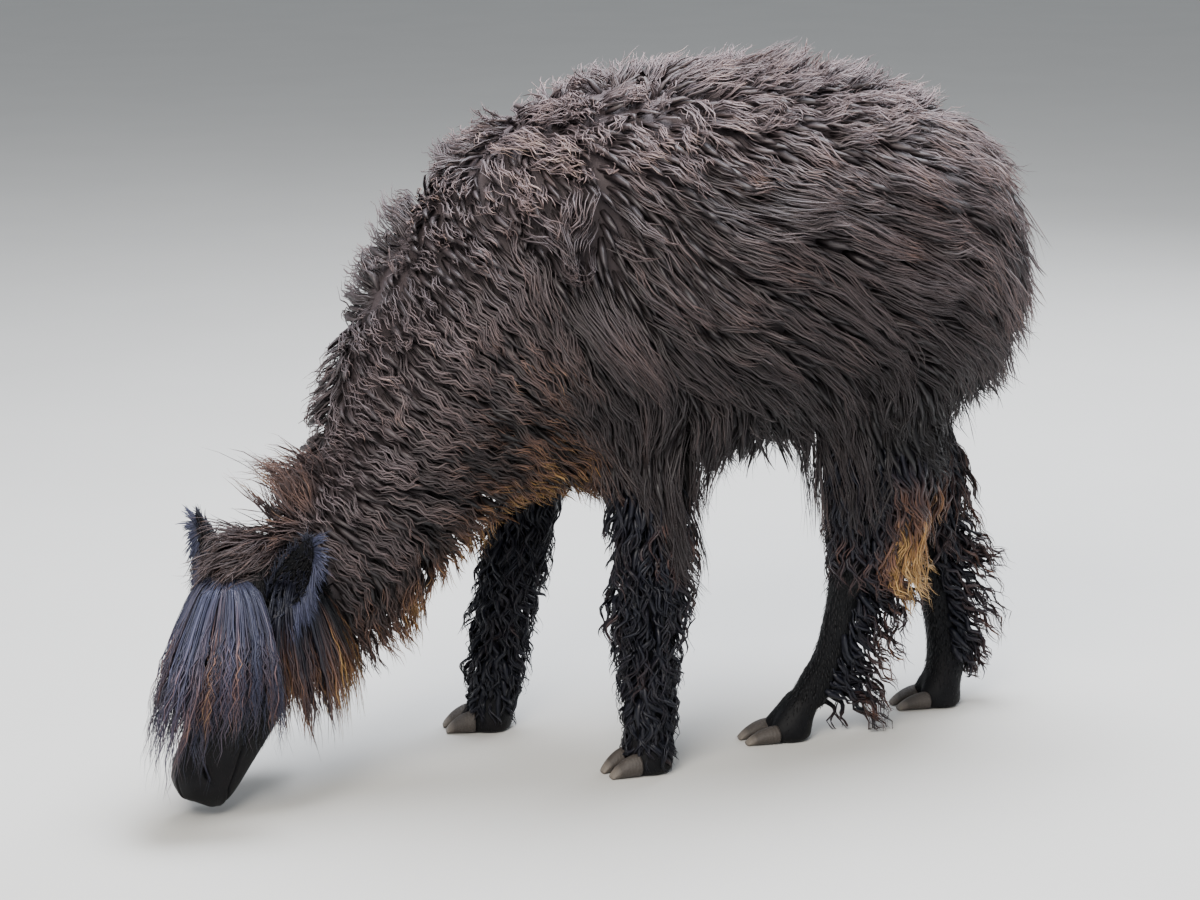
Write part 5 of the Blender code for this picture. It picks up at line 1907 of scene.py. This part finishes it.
def build_nail(kind, toe, steps=18, segments=24):
    """A long curved toenail, deep and ridged at its root, brought to a worn edge at the floor."""
    turn = np.array(Matrix.Rotation(TOE_TURN[kind], 3, "Z"))
    spread = (1 if toe == "inner" else -1) * (-1 if kind.endswith("right") else 1)
    length, deep = NAIL_SIZES[kind[:4]]
    start, spot = FOOT_LENGTH * 0.36, np.array((*FOOT_SPOT[kind], 0))
    angles = np.arange(segments) * math.tau / segments
    across, up = np.cos(angles), np.sin(angles)
    ridge = 1 + 0.05 * np.cos(2 * (angles - math.pi / 2))
    rings = []
    for t in np.arange(steps + 1) / steps:
        middle = ((deep - NAIL_EDGE) * (1 - t**1.8) ** 0.8 + NAIL_EDGE) / 2
        rise = np.maximum(middle * (1 + up * ridge / 1.05), 0.0004)
        domed = 1 - 0.10 * np.maximum(up, 0) ** 3
        lateral = spread * (0.0215 - 0.006 * t) + 0.0165 * (1 - 0.52 * t**2) * across * domed
        ring = np.column_stack([np.full(segments, -(start + length * t)), lateral, rise])
        rings.append(ring @ turn.T + spot)
    name = f"toenail_{kind}_{toe}"
    mesh = lofts(name, [rings])
    back, lateral, rise = ((points_of(mesh) - spot) @ turn).T
    place = np.column_stack([(-back - start) / length, lateral / NAIL_UNIT, rise / NAIL_UNIT])
    write_value(mesh, "nail_place", place, "FLOAT_VECTOR")
    mesh.shade_smooth()
    return new_object(name, mesh)


# ---------------------------------------------------------------- what a user would change


def colour_property(name, description, colour):
    return bpy.props.FloatVectorProperty(
        name=name, description=description, subtype="COLOR", size=3, min=0, max=1,
        default=hex_colour(colour)[:3],
    )


class LlamaCoat(bpy.types.PropertyGroup):
    """Colours of the coat, from black to straw, and the size of the short tufts."""

    # The slight blue of this black is a painted reflection of the sky on black hair.
    black: colour_property("Black", "Hair of the legs, face and ears", "#08090D")
    dark_brown: colour_property("Dark brown", "Roots of the fleece and the belly hem", "#191314")
    brown: colour_property("Brown", "Tips of the fleece on the flanks", "#43312B")
    russet: colour_property("Russet", "Tips of the neck wool and of the leg curls", "#6C4B38")
    gold: colour_property("Gold", "Throat, chest tuft and the hem of the cheeks", "#93703F")
    straw: colour_property("Straw", "The palest tips", "#BD9A66")
    # The faded colour stands partly for sun-faded hair and partly for painted sheen, grey-purple where the
    # light falls on the back and the top of the neck.
    faded_and_sheen: colour_property("Faded", "Sun-faded hair on the back", "#7A6D70")
    cool: colour_property("Cool grey", "Sheen colour of the fringe and the ears", "#6B7092")
    short_distance: bpy.props.FloatProperty(
        name="Short tuft spacing", description="Distance between the tufts of the short coat", unit="LENGTH",
        min=0.002, default=0.0044,
    )
    short_length: bpy.props.FloatProperty(
        name="Short tuft length", description="Length of the tufts of the short coat", unit="LENGTH",
        min=0.003, default=0.0120,
    )


class LlamaStage(bpy.types.PropertyGroup):
    """The floor and the lights."""

    floor: colour_property("Floor", "Colour of the floor", "#CFCECA")
    key: bpy.props.FloatProperty(
        name="Key light", description="Power of the large soft light", unit="POWER", min=0, default=400.0
    )
    fill: bpy.props.FloatProperty(
        name="Sky", description="Strength of the light from all round", min=0, default=0.50
    )


# ---------------------------------------------------------------- operators

MADE = {}  # surfaces that several pieces grow from, and their materials


def shared():
    """The skin's surface, the search trees of the skin and of the outer surface, and the hair materials."""
    if "trees" not in MADE:
        raise RuntimeError("build the skin first")
    return MADE["surface"], MADE["trees"], MADE["hair"]


BODY_NODES = ["trunk", "neck", "head", "tail", "ear_left", "ear_right"]
LEG_NODES = {"fore": ("forearm", "shank", "foot"), "hind": ("thigh", "cannon", "foot")}
BODY_NODES += [f"{kind}_{part}" for kind in LEGS for part in LEG_NODES[kind[:4]]]


class LLAMA_OT_skin(bpy.types.Operator):
    """One skin over trunk, neck, head, ears, tail, legs and feet, with the coat's colours, partly painted
    shade and sheen
    """

    bl_idname = "llama.skin"
    bl_label = "Skin"

    def execute(self, context):
        skin = build_skin()
        mesh = skin.data
        points, normals = points_of(mesh), normals_of(mesh)
        tone, fade_sheen_mix = skin_tones(points, normals, part_of(points))
        write_value(mesh, "tone", tone)
        write_value(mesh, "fade_sheen_mix", fade_sheen_mix)
        map_skin(mesh)
        put_on(skin, skin_material(), "short_coat", *BODY_NODES)
        outer = outer_surface()
        MADE["skin"] = skin
        MADE["surface"] = (points, triangles_of(mesh), normals)
        MADE["trees"] = (tree_of(mesh), tree_of(outer.data))
        bpy.data.objects.remove(outer)
        faded_and_sheen, cool = context.scene.llama_coat.faded_and_sheen, context.scene.llama_coat.cool
        MADE["hair"] = {
            "fleece": hair_material("silky fleece", 0.50, 0.38, 0.55, 0.0, faded_and_sheen),
            "neck_fleece": hair_material("crimped wool", 0.52, 0.38, 0.60, 1.0, faded_and_sheen),
            "leg_wool": hair_material("ringlet wool", 0.40, 0.24, 0.60, 2.0, cool),
            "fringe": hair_material("straight fringe hair", 0.42, 0.28, 0.45, 3.0, cool),
            "short_coat": hair_material("short velvet coat", 0.46, 0.28, 0.35, 4.0, cool),
        }
        return {"FINISHED"}


class LLAMA_OT_fleece(bpy.types.Operator):
    """The fleece of trunk and neck, in long locks over a short undercoat"""

    bl_idname = "llama.fleece"
    bl_label = "Fleece"

    def execute(self, context):
        surface, trees, hair = shared()
        body, legs = grow_undercoat(surface, trees)
        put_on(body, hair["fleece"], "fleece")
        put_on(legs, hair["leg_wool"], "leg_wool")
        for zone, slot in (("trunk", "fleece"), ("neck", "neck_fleece")):
            for piece in grow_fleece(zone, surface, trees):
                put_on(piece, hair[slot], slot)
        return {"FINISHED"}


class LLAMA_OT_leg_wool(bpy.types.Operator):
    """Ringlets on all four legs"""

    bl_idname = "llama.leg_wool"
    bl_label = "Leg wool"

    def execute(self, context):
        surface, trees, hair = shared()
        for kind in LEGS:
            put_on(grow_limb(kind, surface, trees), hair["leg_wool"], "leg_wool")
        return {"FINISHED"}


class LLAMA_OT_head_hair(bpy.types.Operator):
    """Fringe, cheek wool, the tuft behind the ears and the hair of the ears"""

    bl_idname = "llama.head_hair"
    bl_label = "Hair of the head"

    def execute(self, context):
        surface, trees, hair = shared()
        for piece in grow_forelock(trees):
            put_on(piece, hair["fringe"], "fringe", "forelock")
        for side in SIDES:
            put_on(grow_cheek(side, trees), hair["fringe"], "fringe", "cheek_wool_" + side)
            put_on(grow_ear_hair(side, trees), hair["short_coat"], "short_coat")
        put_on(grow_nape(surface), hair["neck_fleece"], "neck_fleece")
        return {"FINISHED"}


class LLAMA_OT_short_coat(bpy.types.Operator):
    """Short flat tufts on the face, ears, feet and fronts of the hind cannons"""

    bl_idname = "llama.short_coat"
    bl_label = "Short coat"

    def execute(self, context):
        _, _, hair = shared()
        coat = context.scene.llama_coat
        piece = grow_short_coat(MADE["skin"], hair["short_coat"], coat.short_distance, coat.short_length)
        put_on(piece, hair["short_coat"], "short_coat")
        return {"FINISHED"}


class LLAMA_OT_eyes(bpy.types.Operator):
    """Both eyeballs and their lashes"""

    bl_idname = "llama.eyes"
    bl_label = "Eyes"

    def execute(self, context):
        _, trees, hair = shared()
        wet = eye_material()
        for side in SIDES:
            put_on(build_eye(side), wet, "eye", "eye_" + side)
        put_on(grow_lashes(trees[0]), hair["short_coat"], "short_coat")
        return {"FINISHED"}


class LLAMA_OT_toenails(bpy.types.Operator):
    """Two toenails on each foot"""

    bl_idname = "llama.toenails"
    bl_label = "Toenails"

    def execute(self, context):
        horn = nail_material()
        for kind in LEGS:
            for toe in ("inner", "outer"):
                put_on(build_nail(kind, toe), horn, "nail", f"{kind}_nail_{toe}")
        return {"FINISHED"}


FLOOR_REACH = 24.0  # so far that its edge lies out of view
SKY = "#E9EFF7"
LIGHT_AIM = Vector((0.0, 0.0, 0.55))
# Name, place, share of the key light's power, width and colour.
LIGHTS = (
    ("key", (-2.2, -3.4, 4.2), 1.0, 3.0, "#FFF9F0"),
    ("top", (0.6, 0.6, 4.6), 1.30, 3.0, "#F2F6FF"),
    ("rim", (3.6, 2.4, 2.6), 0.30, 2.4, "#F4F8FF"),
)
CAMERA_PLACE = (-1.29198, -4.51201, 1.627)
CAMERA_TURN = (math.radians(76.5), 0.0, math.radians(-16.1))
CAMERA_LENS = 90, 36  # millimetres: focal length and width of the frame


class LLAMA_OT_stage(bpy.types.Operator):
    """Floor, soft lights and camera"""

    bl_idname = "llama.stage"
    bl_label = "Stage"

    def execute(self, context):
        scene = context.scene
        stage = scene.llama_stage
        shell = bmesh.new()
        corners = ((-1, -1), (1, -1), (1, 1), (-1, 1))
        shell.faces.new([shell.verts.new((x * FLOOR_REACH, y * FLOOR_REACH, 0.0)) for x, y in corners])
        mesh = mesh_from(shell, "floor")
        floor = new_object("floor", mesh)
        mesh.materials.append(floor_material(tuple(stage.floor)))
        world = bpy.data.worlds.new("studio")
        scene.world = world
        world.use_nodes = True
        background = world.node_tree.nodes["Background"]
        background.inputs["Color"].default_value = hex_colour(SKY)
        background.inputs["Strength"].default_value = stage.fill
        for name, place, power, size, colour in LIGHTS:
            lamp = bpy.data.lights.new(name, "AREA")
            lamp.shape = "DISK"
            lamp.size = size
            lamp.energy = stage.key * power
            lamp.color = hex_colour(colour)[:3]
            holder = new_object(name, lamp)
            holder.location = place
            holder.rotation_euler = (LIGHT_AIM - Vector(place)).to_track_quat("-Z", "Y").to_euler()
        lens = bpy.data.cameras.new("camera")
        lens.lens, lens.sensor_width = CAMERA_LENS
        view = new_object("camera", lens)
        view.location = CAMERA_PLACE
        view.rotation_euler = CAMERA_TURN
        scene.camera = view
        return {"FINISHED"}


OPERATORS = (
    LLAMA_OT_skin,
    LLAMA_OT_fleece,
    LLAMA_OT_leg_wool,
    LLAMA_OT_head_hair,
    LLAMA_OT_short_coat,
    LLAMA_OT_eyes,
    LLAMA_OT_toenails,
    LLAMA_OT_stage,
)


class LLAMA_PT_panel(bpy.types.Panel):
    """The steps of the build, in order"""

    bl_idname = "LLAMA_PT_panel"
    bl_label = "Llama"
    bl_space_type = "VIEW_3D"
    bl_region_type = "UI"
    bl_category = "Llama"

    def draw(self, context):
        for group in (context.scene.llama_coat, context.scene.llama_stage):
            for key in group.__annotations__:
                self.layout.prop(group, key)
        for operator in OPERATORS:
            self.layout.operator(operator.bl_idname)


CLASSES = (LlamaCoat, LlamaStage, *OPERATORS, LLAMA_PT_panel)


def register():
    for cls in CLASSES:
        bpy.utils.register_class(cls)
    bpy.types.Scene.llama_coat = bpy.props.PointerProperty(type=LlamaCoat)
    bpy.types.Scene.llama_stage = bpy.props.PointerProperty(type=LlamaStage)


def unregister():
    del bpy.types.Scene.llama_stage
    del bpy.types.Scene.llama_coat
    for cls in reversed(CLASSES):
        bpy.utils.unregister_class(cls)


def main():
    register()
    bpy.ops.llama.skin()
    bpy.ops.llama.fleece()
    bpy.ops.llama.leg_wool()
    bpy.ops.llama.head_hair()
    bpy.ops.llama.short_coat()
    bpy.ops.llama.eyes()
    bpy.ops.llama.toenails()
    bpy.ops.llama.stage()


if __name__ == "__main__":
    main()
